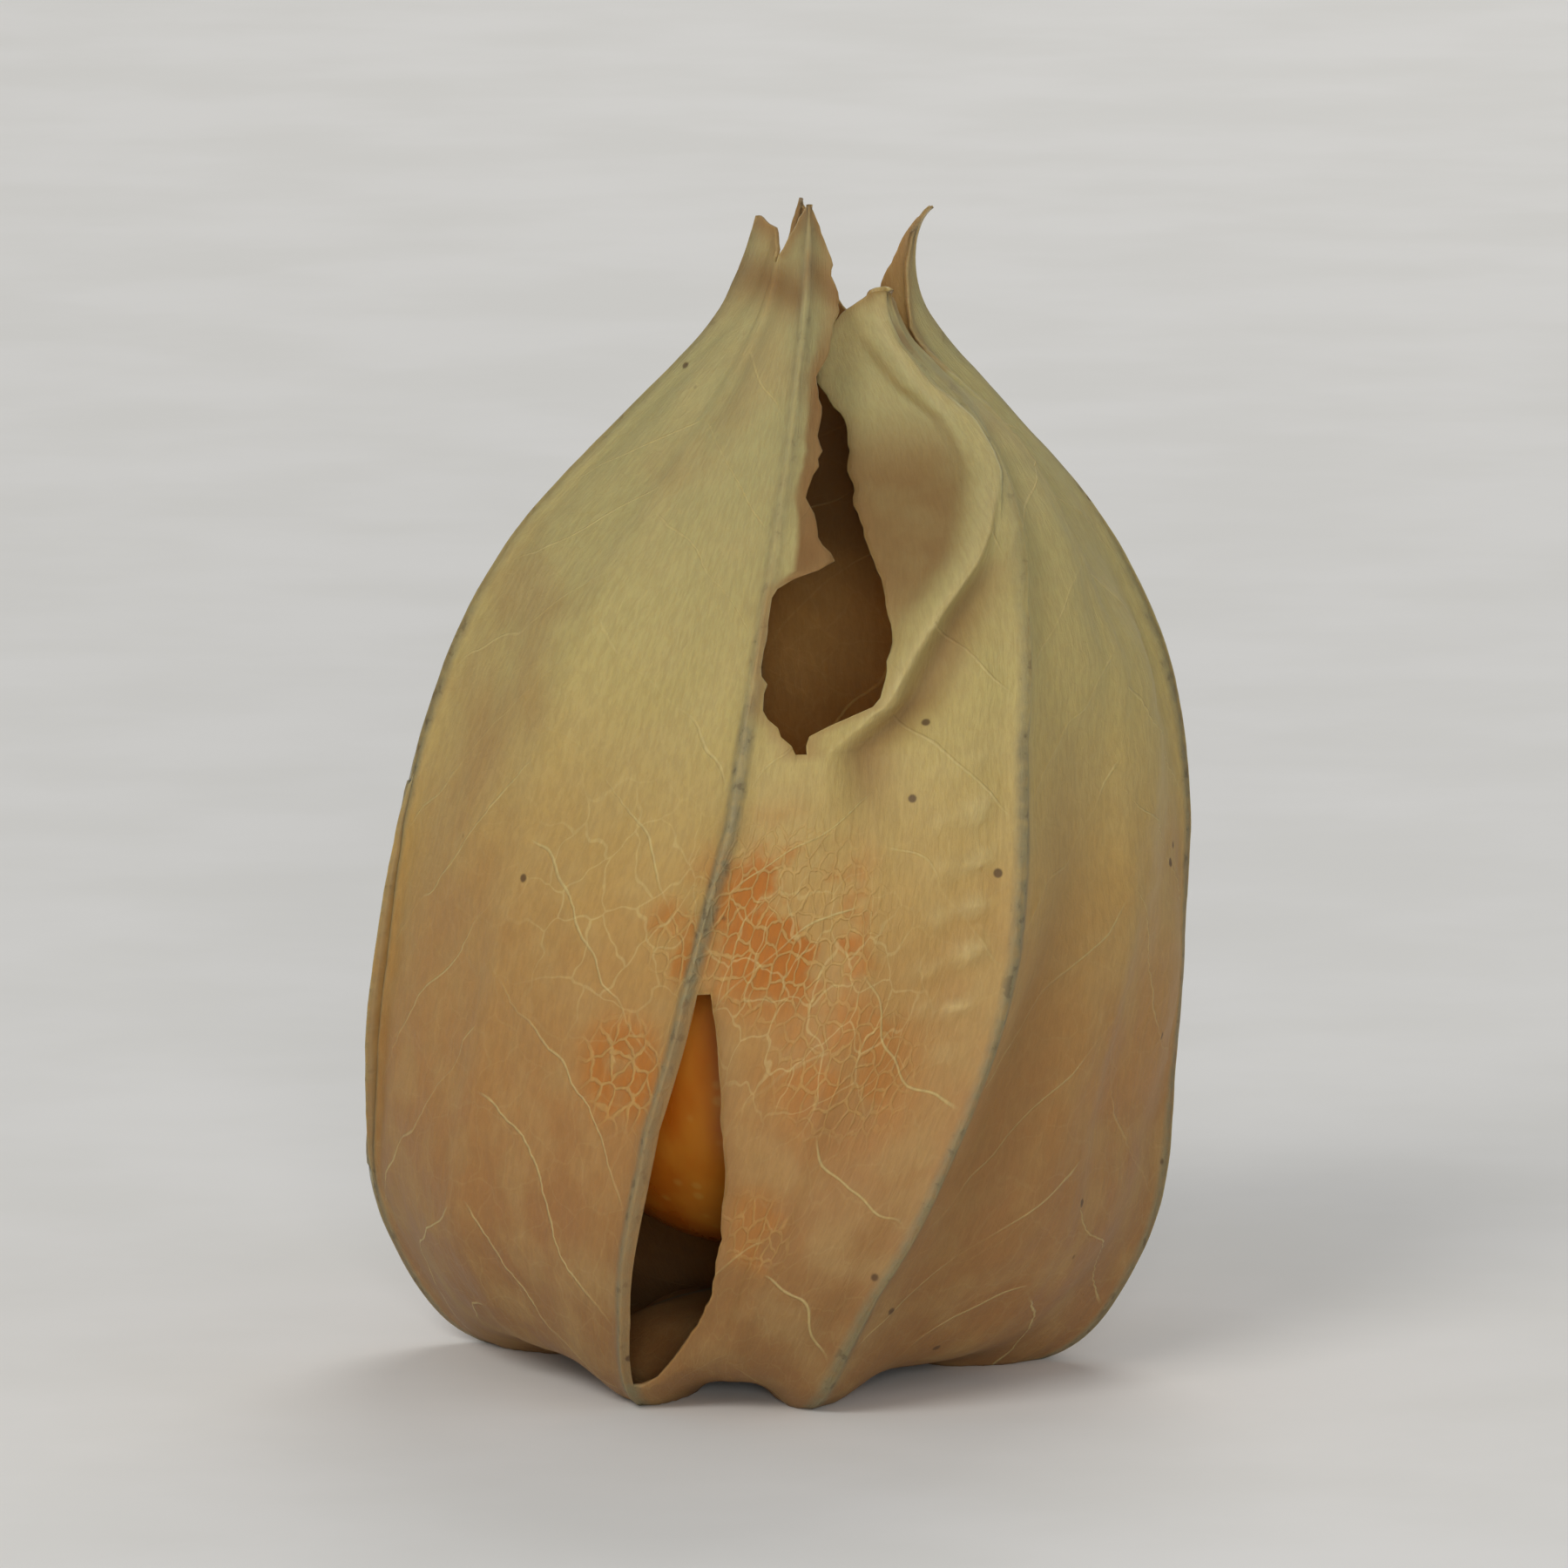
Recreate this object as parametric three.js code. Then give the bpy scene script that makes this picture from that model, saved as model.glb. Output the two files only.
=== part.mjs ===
// A ripe physalis berry in its papery husk, standing on the lobes of the husk's base.
// The husk is the flower's calyx, grown into a lantern with five angled ribs and five pointed lobes.
// It has split beside one rib: a mouth with a folded-in edge above, and a narrow slit below.
// Millimetres, +Z up. The origin is on the surface that the husk rests on, under its middle.
// The split faces -Y, and azimuths are turned from -Y towards +X.
import * as THREE from "three";

// Driving dimensions
const HUSK_HEIGHT = 48; // resting surface to the highest lobe tip
const HUSK_RADIUS = 16.5; // stalk axis to a rib, where the husk is widest
const PAPER = 0.6; // wall of the husk, thicker than the real paper so that it is a sound solid
const KEEL = 0.45; // height of a rib over its panels
const KEEL_REACH = 1.1; // from a rib's crest to the foot of its keel
const MID_VEIN = 0.15; // height of the weaker vein along the middle of a panel
const BERRY_DIAMETER = 18.6;
const STALK_DIAMETER = 2;
const GAP = 0.3; // clearance between pieces that touch on the real fruit

// Outline of a rib from the collar at the stalk to the lobe's tip: shares of the radius and of the height
const RIB_OUTLINE = [
  [0.125, 0.055],
  [0.292, 0.036],
  [0.503, 0.0],
  [0.8, 0.03],
  [0.97, 0.128],
  [1.0, 0.25],
  [0.998, 0.371],
  [0.97, 0.488],
  [0.88, 0.608],
  [0.7, 0.721],
  [0.445, 0.821],
  [0.205, 0.915],
  [0.105, 1.0],
];

// The five ribs, named by where they stand from the split. Low and high are shares that widen or narrow the
// husk at a rib, tipDrop lowers a lobe's tip, tipSpread bends it out, and swing turns the rib aside.
const FRONT_SWING = [
  [0, -9],
  [0.32, -9],
  [0.52, 0],
  [0.64, 3],
  [0.72, 9],
  [0.78, 18],
  [0.82, 27],
  [0.86, 33],
  [0.9, 34],
  [0.95, 30],
  [1, 22],
];
const SPLIT_SWING = [
  [0.3, 0],
  [0.42, -3.3],
  [0.5, -2.8],
  [0.6, 0],
];
const STRAIGHT = [[0, 0]];
const RIBS = [
  { side: "left", azimuth: -95, low: 1.02, high: 0.96, tipDrop: 0.8, tipSpread: 0.2, swing: STRAIGHT },
  { side: "split", azimuth: -12, low: 1, high: 1, tipDrop: 0, tipSpread: 0.5, swing: SPLIT_SWING },
  { side: "front", azimuth: 32, low: 1, high: 1, tipDrop: 3.8, tipSpread: 1.4, swing: FRONT_SWING },
  { side: "right", azimuth: 100, low: 0.96, high: 1.01, tipDrop: 0.7, tipSpread: 3, swing: STRAIGHT },
  { side: "back", azimuth: 184, low: 1, high: 0.99, tipDrop: 0.4, tipSpread: 0.4, swing: STRAIGHT },
];
const SPLIT_PANEL = 1; // the panel from the split rib to the front rib

const LEAN = 2.3; // how far the tip stands towards +X of the base
const BASE_OFFSET = -1.1; // where the base stands, so that the leaning husk has its middle over the origin
const BASE_TWIST = 12; // degrees that the base is turned back against the belly
const TIP_TWIST = 8; // degrees that the tip is turned on from the belly
const FOOT_CUT = 0.45; // how deep the base lobes are flattened where they rest
const WEB_LIFT = 1.1; // how much higher the base is between two ribs

// Where things are along a rib, as a share of its outline
const TIP_STARTS = 0.7;
const SLIT = [9 / 36, 18 / 36];
const MOUTH_STARTS = 23 / 36;
const MOUTH_WIDE = 24 / 36;
const SINUS_STARTS = [0.95, MOUTH_STARTS, 0.87, 0.85, 0.9]; // notch between two lobes, for each panel

// Tables of [place along the rib, value], read by along(): how round the husk is between its ribs, where the
// split panel parts below the mouth, and how much torn paper the split rib keeps beside the mouth
const ROUNDNESS = [
  [0, 1],
  [0.1, 0.8],
  [0.2, 0.3],
  [0.33, 0.5],
  [0.5, 0.56],
  [0.7, 0.42],
  [0.9, 0.3],
  [1, 0.3],
];
const PARTING_PLACE = [
  [0.5, 0.035],
  [0.57, 0.05],
  [0.639, 0.2],
  [0.667, 0.06],
];
const REMNANT_MM = [
  [0.667, 0.6],
  [0.69, 0.2],
  [0.736, 0.2],
  [0.743, 1.9],
  [0.75, 2.8],
  [0.765, 1.9],
  [0.79, 1],
  [0.82, 1.4],
  [0.845, 1.2],
  [0.861, 0.8],
  [0.889, 1.2],
  [0.92, 1.6],
  [1, 1.6],
];
// The folded-in edge: where the fold lies on its panel, how far the paper reaches in, and how it is turned
const FOLD_PLACE = [
  [0, 0.5],
  [0.5, 0.5],
  [0.58, 0.36],
  [0.639, 0.3],
  [0.667, 0.49],
  [0.694, 0.56],
  [0.722, 0.67],
  [0.75, 0.79],
  [0.778, 0.88],
  [0.806, 0.94],
  [0.847, 0.94],
  [0.875, 0.86],
  [0.92, 0.82],
  [1, 0.8],
];
const FOLD_REACH = [
  [0.667, 0.4],
  [0.694, 0.8],
  [0.722, 2.3],
  [0.75, 4.3],
  [0.778, 5.3],
  [0.806, 5.7],
  [0.833, 5.1],
  [0.861, 4.6],
  [0.889, 4],
  [0.917, 3.1],
  [0.944, 2.1],
  [0.972, 1.1],
  [1, 0.7],
];
const FOLD_TURN = [
  [0.639, 0],
  [0.667, 20],
  [0.694, 35],
  [0.722, 45],
  [0.75, 50],
  [0.83, 52],
  [0.89, 55],
  [0.92, 45],
  [1, 15],
];
const SLIT_WIDTH = 2.7;
const SLIT_SKEW = 0.7; // under 1, the slit is widest below its middle
const SLIT_CURL = 0.9; // how far the slit's loose edge is bent in
const SEAM = 0.02; // half width of the line along which two lobes part, as a share of a panel
const LOBE_TIP = 0.13; // half width of a lobe at its tip, as a share of a panel
const FOLD_RADIUS = 1.4;

const ROWS = 36;
const TONGUE_ROW = 0.736; // one more row, under the tongue of torn paper
const EVEN_ROWS = Array.from({ length: ROWS + 1 }, (_, row) => row / ROWS);
const PLACES = [...EVEN_ROWS, TONGUE_ROW].sort((a, b) => a - b);
const PLAIN_LEFT = [0, 0, 0.25, 0.5, 0.75, 1]; // the second column runs along the foot of the keel
const PLAIN_RIGHT = [0, 0.25, 0.5, 0.75, 1]; // so does the last one
const SPLIT_LEFT = [0, 1];
const SPLIT_RIGHT = [0, 0.17, 0.34, 0.5, 0.67, 0.84, 1];
const FOLD_SHARE = 0.5; // the column of the split panel that runs along the fold

const radians = THREE.MathUtils.degToRad;
const mix = THREE.MathUtils.lerp;
const ease = (x, from, to) => THREE.MathUtils.smoothstep(x, from, to);

// The value of a table at x, by straight lines between its points
function along(table, x) {
  if (x <= table[0][0]) return table[0][1];
  for (let k = 1; k < table.length; k++) {
    const [x0, y0] = table[k - 1];
    const [x1, y1] = table[k];
    if (x <= x1) return mix(y0, y1, (x - x0) / (x1 - x0));
  }
  return table[table.length - 1][1];
}

const ribOutline = new THREE.SplineCurve(RIB_OUTLINE.map(([r, z]) => new THREE.Vector2(r, z)));

// Centre of the lantern at a height: it leans as it rises, and is upright again at the tip
function axisAt(z) {
  const rise = z / HUSK_HEIGHT;
  return BASE_OFFSET + LEAN * rise * (2 - rise);
}

// Radius, azimuth and height of rib i at place s. Its small swerves keep it from looking turned on a lathe.
function ribPlace(i, s) {
  const rib = RIBS[i % RIBS.length];
  const outline = ribOutline.getPoint(s);
  const tip = Math.max(0, (s - TIP_STARTS) / (1 - TIP_STARTS)) ** 2;
  const belly = ease(s, 0.2, 0.35) * (1 - ease(s, 0.85, 1));
  const swerve = 1.3 * Math.sin(9 * s + 2.1 * i) * belly;
  const turn = -BASE_TWIST * (1 - ease(s, 0.2, 0.52)) + TIP_TWIST * ease(s, 0.5, 1);
  const girth = mix(1, mix(rib.low, rib.high, ease(s, 0.38, 0.68)), belly);
  const swell = 0.2 * Math.sin(11 * s + 1.7 * i) * belly;
  return {
    radius: outline.x * HUSK_RADIUS * girth + rib.tipSpread * tip ** 2 + swell,
    azimuth: radians(rib.azimuth + (i >= RIBS.length ? 360 : 0) + turn + swerve + along(rib.swing, s)),
    z: outline.y * HUSK_HEIGHT - rib.tipDrop * tip,
  };
}

function toPoint({ radius, azimuth, z }) {
  return new THREE.Vector3(axisAt(z) + radius * Math.sin(azimuth), -radius * Math.cos(azimuth), z);
}

// Low waves of dry paper. They fade out at the ribs and at the collar.
function wrinkle(i, t, s) {
  const turn = 2 * Math.PI;
  const u = i + t;
  const waves =
    0.32 * Math.sin(turn * (1.4 * u + 2.3 * s) + 0.7) +
    0.24 * Math.sin(turn * (2.2 * u - 3.1 * s) + 2.1) +
    0.16 * Math.sin(turn * (0.6 * u + 6.2 * s) + 4.0);
  return waves * Math.sqrt(4 * t * (1 - t)) * ease(s, 0.1, 0.3) * (1 - 0.6 * ease(s, 0.85, 1));
}

// Share of panel i that a rib's keel takes up on each side
function keelShare(i, s) {
  const chord = toPoint(ribPlace(i, s)).distanceTo(toPoint(ribPlace(i + 1, s)));
  return Math.min(0.28, KEEL_REACH / chord);
}

// A point of the lantern on panel i, at share t of the way from its rib to the next, and at place s.
// Relief 0 leaves out the keels, the veins and the wrinkles.
function panelPoint(i, t, s, relief = 1) {
  const from = ribPlace(i, s);
  const to = ribPlace(i + 1, s);
  const chord = toPoint(from).lerp(toPoint(to), t);
  const across = new THREE.Vector2(chord.x - axisAt(chord.z), chord.y);
  const arc = mix(from.radius, to.radius, t);
  const beside = Math.min(t, 1 - t) / keelShare(i, s);
  const keel = KEEL * Math.max(0, 1 - beside) ** 1.5 * ease(s, 0.02, 0.2);
  const vein = MID_VEIN * (1 - ease(Math.abs(t - 0.5), 0.02, 0.12)) * ease(s, 0.1, 0.3);
  const radius = mix(across.length(), arc, along(ROUNDNESS, s));
  across.setLength(radius + relief * (wrinkle(i, t, s) + keel + vein));
  const web = ease(4 * t * (1 - t), 0.3, 1);
  const lift = WEB_LIFT * web * ease(s, 0.03, 0.15) * (1 - ease(s, 0.2, 0.36));
  const z = Math.max(0, chord.z + lift - FOOT_CUT * ease(s, 0.05, 0.14) * (1 - ease(s, 0.22, 0.3)));
  return new THREE.Vector3(axisAt(z) + across.x, across.y, z);
}

function splitChord(s) {
  return toPoint(ribPlace(SPLIT_PANEL, s)).distanceTo(toPoint(ribPlace(SPLIT_PANEL + 1, s)));
}

// Width of the slit at place s, in mm
function slitWidth(s) {
  const share = THREE.MathUtils.clamp((s - SLIT[0]) / (SLIT[1] - SLIT[0]), 0, 1);
  return SLIT_WIDTH * Math.abs(Math.sin(Math.PI * share ** SLIT_SKEW));
}

// Left and right side of the line along which panel i parts, as shares of the panel
function seam(i, s) {
  if (i !== SPLIT_PANEL) {
    const opening = ease(s, SINUS_STARTS[i], 1.04) * (0.5 - LOBE_TIP);
    return [0.5 - SEAM - opening, 0.5 + SEAM + opening];
  }
  const chord = splitChord(s);
  const edge = along(FOLD_PLACE, s) - along(FOLD_REACH, s) / chord;
  if (s >= MOUTH_WIDE) return [Math.max(0.02, Math.min(0.35, along(REMNANT_MM, s) / chord)), edge];
  const left = along(PARTING_PLACE, s);
  const right = left + 2 * SEAM + slitWidth(s) / chord;
  return [left, mix(right, edge, ease(s, MOUTH_STARTS, MOUTH_WIDE))];
}

function isOpen(i, s) {
  if (i !== SPLIT_PANEL) return s > SINUS_STARTS[i];
  return s > MOUTH_STARTS || (s > SLIT[0] && s < SLIT[1]);
}

// The folded-in edge of the mouth at place s, at a distance from the fold. It turns in, then flattens out.
function foldedPoint(distance, s) {
  const fold = along(FOLD_PLACE, s);
  const hinge = panelPoint(SPLIT_PANEL, fold, s);
  const flatHinge = panelPoint(SPLIT_PANEL, fold, s, 0);
  const direction = panelPoint(SPLIT_PANEL, fold - 0.08, s, 0).sub(flatHinge).setZ(0).normalize();
  const turn = radians(along(FOLD_TURN, s)) * ease(distance, 0, FOLD_RADIUS) * (1 - 0.04 * distance);
  direction.applyAxisAngle(new THREE.Vector3(0, 0, 1), -turn);
  return hinge.addScaledVector(direction, distance);
}

// A point of the split panel right of its parting line. Along the slit this loose edge is bent in a little.
function splitPoint(t, s) {
  const point = panelPoint(SPLIT_PANEL, t, s);
  const right = seam(SPLIT_PANEL, s)[1];
  const loose = (1 - ease(t, right, right + 0.25)) * (slitWidth(s) / SLIT_WIDTH);
  const inward = new THREE.Vector3(-point.x, -point.y, 0).normalize();
  return point.addScaledVector(inward, SLIT_CURL * loose);
}

// Columns of the husk's grid, in order round it. Each belongs to a panel and to a side of its parting line.
function huskColumns() {
  const columns = [];
  RIBS.forEach((rib, panel) => {
    const split = panel === SPLIT_PANEL;
    const left = split ? SPLIT_LEFT : PLAIN_LEFT;
    const right = split ? SPLIT_RIGHT : PLAIN_RIGHT;
    left.forEach((share, k) => columns.push({ panel, side: "left", share, crest: k === 0 }));
    right.forEach((share) => columns.push({ panel, side: "right", share, crest: false }));
  });
  return columns;
}

function columnPoint({ panel, side, share, crest }, s) {
  if (crest) return panelPoint(panel, 0, s);
  const [left, right] = seam(panel, s);
  const keel = Math.min(keelShare(panel, s), 0.6 * left);
  if (panel !== SPLIT_PANEL) {
    return panelPoint(panel, side === "left" ? mix(keel, left, share) : mix(right, 1 - keel, share), s);
  }
  if (side === "left") return panelPoint(panel, left, s);
  const fold = along(FOLD_PLACE, s);
  const end = 1 - Math.min(keelShare(panel, s), 0.45 * (1 - fold));
  if (share >= FOLD_SHARE) return splitPoint(mix(fold, end, (share - FOLD_SHARE) / (1 - FOLD_SHARE)), s);
  if (s < MOUTH_WIDE) return splitPoint(mix(right, fold, share / FOLD_SHARE), s);
  return foldedPoint(along(FOLD_REACH, s) * (1 - share / FOLD_SHARE), s);
}

// A closed shell from an open sheet of four-sided faces: the sheet, a copy of it set in along its normals,
// and a wall round every open edge. Both faces of a cell are split along the same diagonal.
function thicken(points, cells, thickness) {
  const normals = points.map(() => new THREE.Vector3());
  const cornerNormal = new THREE.Vector3();
  const side = new THREE.Vector3();
  for (const [a, b, c, d] of cells) {
    cornerNormal.subVectors(points[c], points[a]).cross(side.subVectors(points[d], points[b]));
    for (const corner of [a, b, c, d]) normals[corner].add(cornerNormal);
  }
  const inner = points.map((point, k) => {
    const set = point.clone().addScaledVector(normals[k].normalize(), -thickness);
    return set.setZ(Math.max(set.z, point.z === 0 ? thickness : 0.2));
  });
  const count = points.length;
  const triangles = [];
  const edges = new Map();
  for (const [a, b, c, d] of cells) {
    triangles.push([a, b, c], [a, c, d]);
    triangles.push([a + count, c + count, b + count], [a + count, d + count, c + count]);
    for (const [from, to] of [[a, b], [b, c], [c, d], [d, a]]) {
      if (!edges.delete(`${to},${from}`)) edges.set(`${from},${to}`, [from, to]);
    }
  }
  for (const [from, to] of edges.values()) {
    triangles.push([to, from, from + count], [to, from + count, to + count]);
  }
  const used = new Map();
  const position = [];
  const all = [...points, ...inner];
  const index = triangles.flat().map((k) => {
    if (!used.has(k)) {
      used.set(k, used.size);
      position.push(all[k].x, all[k].y, all[k].z);
    }
    return used.get(k);
  });
  const geometry = new THREE.BufferGeometry();
  geometry.setAttribute("position", new THREE.Float32BufferAttribute(position, 3));
  geometry.setIndex(index);
  geometry.computeVertexNormals();
  return geometry;
}

// The husk: a grid round the lantern, with the cells of each parting line left out where it is open
function huskGeometry() {
  const columns = huskColumns();
  const points = [];
  for (const place of PLACES) {
    for (const column of columns) points.push(columnPoint(column, place));
  }
  const cells = [];
  for (let row = 0; row < PLACES.length - 1; row++) {
    const middle = (PLACES[row] + PLACES[row + 1]) / 2;
    columns.forEach(({ panel, side }, k) => {
      const next = (k + 1) % columns.length;
      const parts = side === "left" && columns[next].side === "right";
      if (parts && isOpen(panel, middle)) return;
      const below = row * columns.length;
      const above = below + columns.length;
      cells.push([below + k, below + next, above + next, above + k]);
    });
  }
  return thicken(points, cells, PAPER);
}

// The stalk's top and the berry's foot, worked out from the collar
const COLLAR_Z = RIB_OUTLINE[0][1] * HUSK_HEIGHT;
const SEAT_THICKNESS = 0.7;
const SEAT_TOP = COLLAR_Z + PAPER + GAP + SEAT_THICKNESS;
const BERRY_FLOOR = SEAT_TOP + GAP - 0.15;

// The berry: a ball a little taller than wide, dimpled at the stalk and at the scar of the flower
function berryGeometry() {
  const radius = BERRY_DIAMETER / 2;
  const outline = [];
  const steps = 22;
  for (let k = 0; k <= steps; k++) {
    const angle = (Math.PI * k) / steps;
    const footDimple = 0.5 * Math.exp(-((angle / 0.22) ** 2));
    const scarDimple = 0.25 * Math.exp(-(((Math.PI - angle) / 0.16) ** 2));
    const dimple = footDimple + scarDimple;
    outline.push(
      new THREE.Vector2(Math.sin(angle) * radius, radius - Math.cos(angle) * (1.02 * radius - dimple)),
    );
  }
  outline[0].x = 0;
  outline[steps].x = 0;
  const geometry = new THREE.LatheGeometry(outline, 36);
  geometry.rotateX(Math.PI / 2);
  return geometry;
}

// The stalk, cut short under the husk, with the swollen end that carries the husk and the berry
function stalkGeometry() {
  const radius = STALK_DIAMETER / 2;
  const floor = 0.5;
  const outline = [
    [0, floor],
    [radius * 0.92, floor],
    [radius * 0.95, COLLAR_Z - 1],
    [radius * 1.25, COLLAR_Z - 0.1],
    [radius * 1.3, COLLAR_Z + PAPER + GAP],
    [radius * 1.75, COLLAR_Z + PAPER + GAP + 0.2],
    [radius * 1.5, SEAT_TOP],
    [0, SEAT_TOP],
  ].map(([r, z]) => new THREE.Vector2(r, z));
  const geometry = new THREE.LatheGeometry(outline, 16);
  geometry.rotateX(Math.PI / 2);
  return geometry;
}

const paperStraw = new THREE.MeshStandardMaterial({
  color: 0xbfa56a,
  roughness: 0.75,
  metalness: 0,
  side: THREE.DoubleSide,
});
const berryOrange = new THREE.MeshStandardMaterial({ color: 0xd9791c, roughness: 0.3, metalness: 0 });
const stalkGreen = new THREE.MeshStandardMaterial({ color: 0x8a8a55, roughness: 0.8, metalness: 0 });

const husk = new THREE.Mesh(huskGeometry(), paperStraw);
husk.name = "husk";

const berry = new THREE.Mesh(berryGeometry(), berryOrange);
berry.name = "berry";
berry.position.set(axisAt(BERRY_FLOOR), 0, BERRY_FLOOR);

const stalk = new THREE.Mesh(stalkGeometry(), stalkGreen);
stalk.name = "stalk";
stalk.position.x = axisAt(COLLAR_Z);

const physalis = new THREE.Group();
physalis.add(husk, berry, stalk);

export default physalis;
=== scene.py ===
# %% [markdown]
# # A physalis berry in its papery husk
#
# The fruit is a small orange berry. Around it the flower's calyx has grown into a lantern of dry paper,
# with five angled ribs, thin panels between them, and five lobes that meet in a tip. This lantern stands
# on the lobes of its base, and has split beside one rib, so that the berry shows. The exact solids come
# first, as a frame: every piece made here sits where they sit.

# %% Load the frame
import math
from functools import lru_cache

import bmesh
import bpy
from mathutils import Matrix, Vector, noise


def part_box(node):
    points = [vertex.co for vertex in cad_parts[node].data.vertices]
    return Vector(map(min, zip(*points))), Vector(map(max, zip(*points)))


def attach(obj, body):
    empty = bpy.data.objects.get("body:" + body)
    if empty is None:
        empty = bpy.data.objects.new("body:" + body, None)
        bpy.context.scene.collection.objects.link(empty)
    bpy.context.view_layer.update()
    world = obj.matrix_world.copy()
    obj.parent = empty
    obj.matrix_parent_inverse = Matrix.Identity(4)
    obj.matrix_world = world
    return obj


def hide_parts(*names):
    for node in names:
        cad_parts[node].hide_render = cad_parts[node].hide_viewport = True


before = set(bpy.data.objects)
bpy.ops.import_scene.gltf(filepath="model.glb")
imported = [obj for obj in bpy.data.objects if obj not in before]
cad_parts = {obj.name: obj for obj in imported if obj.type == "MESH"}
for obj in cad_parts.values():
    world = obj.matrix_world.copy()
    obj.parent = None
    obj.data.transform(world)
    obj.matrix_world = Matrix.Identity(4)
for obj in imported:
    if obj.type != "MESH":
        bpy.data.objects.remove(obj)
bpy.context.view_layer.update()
MM = 0.001
print("solids:", sorted(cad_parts))

# %% [markdown]
# ## The lantern as a formula
#
# A lantern could be sculpted by hand, but its ribs, panels, split and lobes all follow the same curves.
# So it is written as a formula: a place on it is a panel, a share t of the way from that panel's rib to
# the next, and a share s of the way from the collar at the stalk to the tips. Lengths are in millimetres
# here, and azimuths turn in degrees from the side with the split towards +X.

# %% Driving dimensions of the husk
HUSK_HEIGHT = (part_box("husk")[1][2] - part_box("husk")[0][2]) / MM
HUSK_RADIUS = 16.5
KEEL = 0.45  # how far a rib stands out
KEEL_REACH = 1.1  # half the width of its foot
MID_VEIN = 0.15  # how far the vein in the middle of a panel stands out
LEAN = 2.3  # how far the tip leans towards +X
BASE_OFFSET = -1.1
BASE_TWIST = 12
TIP_TWIST = 8
FOOT_CUT = 0.45  # how much of the base's lobes is pressed flat
WEB_LIFT = 1.1  # how far the paper between them is off the table
TIP_STARTS = 0.7
PANEL_COUNT = 5
SPLIT_PANEL = 1
SHEET_LENGTH = 66  # from the collar to the tips, along the paper
SHEET_GIRTH = 104  # round the paper at its widest
print(f"husk {HUSK_HEIGHT:.1f} mm tall, {2 * HUSK_RADIUS:.0f} mm across its ribs")

# %% Curves of the husk: the outline of a rib, and the five ribs
RIB_OUTLINE = [
    (0.125, 0.055), (0.292, 0.036), (0.503, 0.0), (0.8, 0.03), (0.97, 0.128), (1.0, 0.25), (0.998, 0.371),
    (0.97, 0.488), (0.88, 0.608), (0.7, 0.721), (0.445, 0.821), (0.205, 0.915), (0.105, 1.0),
]
STRAIGHT = [(0, 0)]
SPLIT_SWING = [(0.3, 0), (0.42, -3.3), (0.5, -2.8), (0.6, 0)]
FRONT_SWING = [
    (0, -9), (0.32, -9), (0.52, 0), (0.64, 3), (0.72, 9), (0.78, 18), (0.82, 27), (0.86, 33), (0.9, 34),
    (0.95, 30), (1, 22),
]
# A rib has its azimuth, its share of the radius below and above the middle, how much lower and further
# out its tip is, and how it swings aside on its way up.
RIB_FACTS = ("side", "azimuth", "low", "high", "drop", "spread", "swing")
RIB_ROWS = [
    ("left", -95, 1.02, 0.96, 0.8, 0.2, STRAIGHT),
    ("split", -12, 1, 1, 0, 0.5, SPLIT_SWING),
    ("front", 32, 1, 1, 3.8, 1.4, FRONT_SWING),
    ("right", 100, 0.96, 1.01, 0.7, 3, STRAIGHT),
    ("back", 184, 1, 0.99, 0.4, 0.4, STRAIGHT),
]
RIBS = [dict(zip(RIB_FACTS, row)) for row in RIB_ROWS]
WAVINESS = [0.5, 0.4, 0.9, 1, 0.9]
DENT_PANEL = 2
DENT = {"at": (0.2, 0.42), "size": (0.15, 0.17), "depth": 1.3}
VALLEY = {"beside": 0.14, "width": 0.09, "depth": 0.9}
VALLEY_RUNS = (0.58, 0.65, 0.71, 0.77)
ROUNDNESS = [(0, 1), (0.1, 0.8), (0.2, 0.3), (0.33, 0.5), (0.5, 0.56), (0.7, 0.42), (0.9, 0.3), (1, 0.3)]
print("ribs:", ", ".join(rib["side"] for rib in RIBS))

# %% Curves of the split: the slit below, the mouth above, and the edge that is folded in
SINUS_STARTS = [0.95, None, 0.87, 0.85, 0.9]
MOUTH_STARTS = 23 / 36
MOUTH_WIDE = 24 / 36
SLIT_STARTS = 9 / 36
SLIT_ENDS = 18 / 36
SLIT_WIDTH = 2.7
SLIT_SKEW = 0.7
SLIT_CURL = 0.9
SEAM = 0.02
LOBE_TIP = 0.03
FOLD_RADIUS = 1.4
FOLD_CREST = 0.35
CREST_WIDTH = 0.45
FOLD_FLATTENS = 0.04  # share of its turn that the folded edge loses with each mm
PARTING_PLACE = [(0.5, 0.035), (0.57, 0.05), (0.639, 0.2), (0.667, 0.06)]
REMNANT_MM = [
    (0.667, 0.6), (0.69, 0.2), (0.732, 0.2), (0.737, 0.8), (0.741, 1.1), (0.746, 2.3), (0.751, 2.8),
    (0.765, 1.9), (0.79, 1), (0.82, 1.4),
    (0.845, 1.2), (0.861, 0.8), (0.889, 1.2), (0.92, 1.6), (0.965, 1.3), (1, 0.1),
]
FOLD_PLACE = [
    (0, 0.5), (0.5, 0.5), (0.58, 0.36), (0.639, 0.3), (0.667, 0.49), (0.694, 0.56), (0.722, 0.67),
    (0.75, 0.79), (0.778, 0.88), (0.806, 0.94), (0.847, 0.94), (0.875, 0.86), (0.92, 0.83), (0.95, 0.86),
    (0.975, 0.91), (1, 0.98),
]
FOLD_REACH = [
    (0.667, 0.4), (0.694, 0.8), (0.722, 2.3), (0.75, 4.3), (0.778, 5.3), (0.806, 5.7), (0.833, 5.1),
    (0.861, 4.6), (0.889, 4), (0.917, 3), (0.944, 1.7), (0.972, 0.6), (1, 0.05),
]
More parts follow.
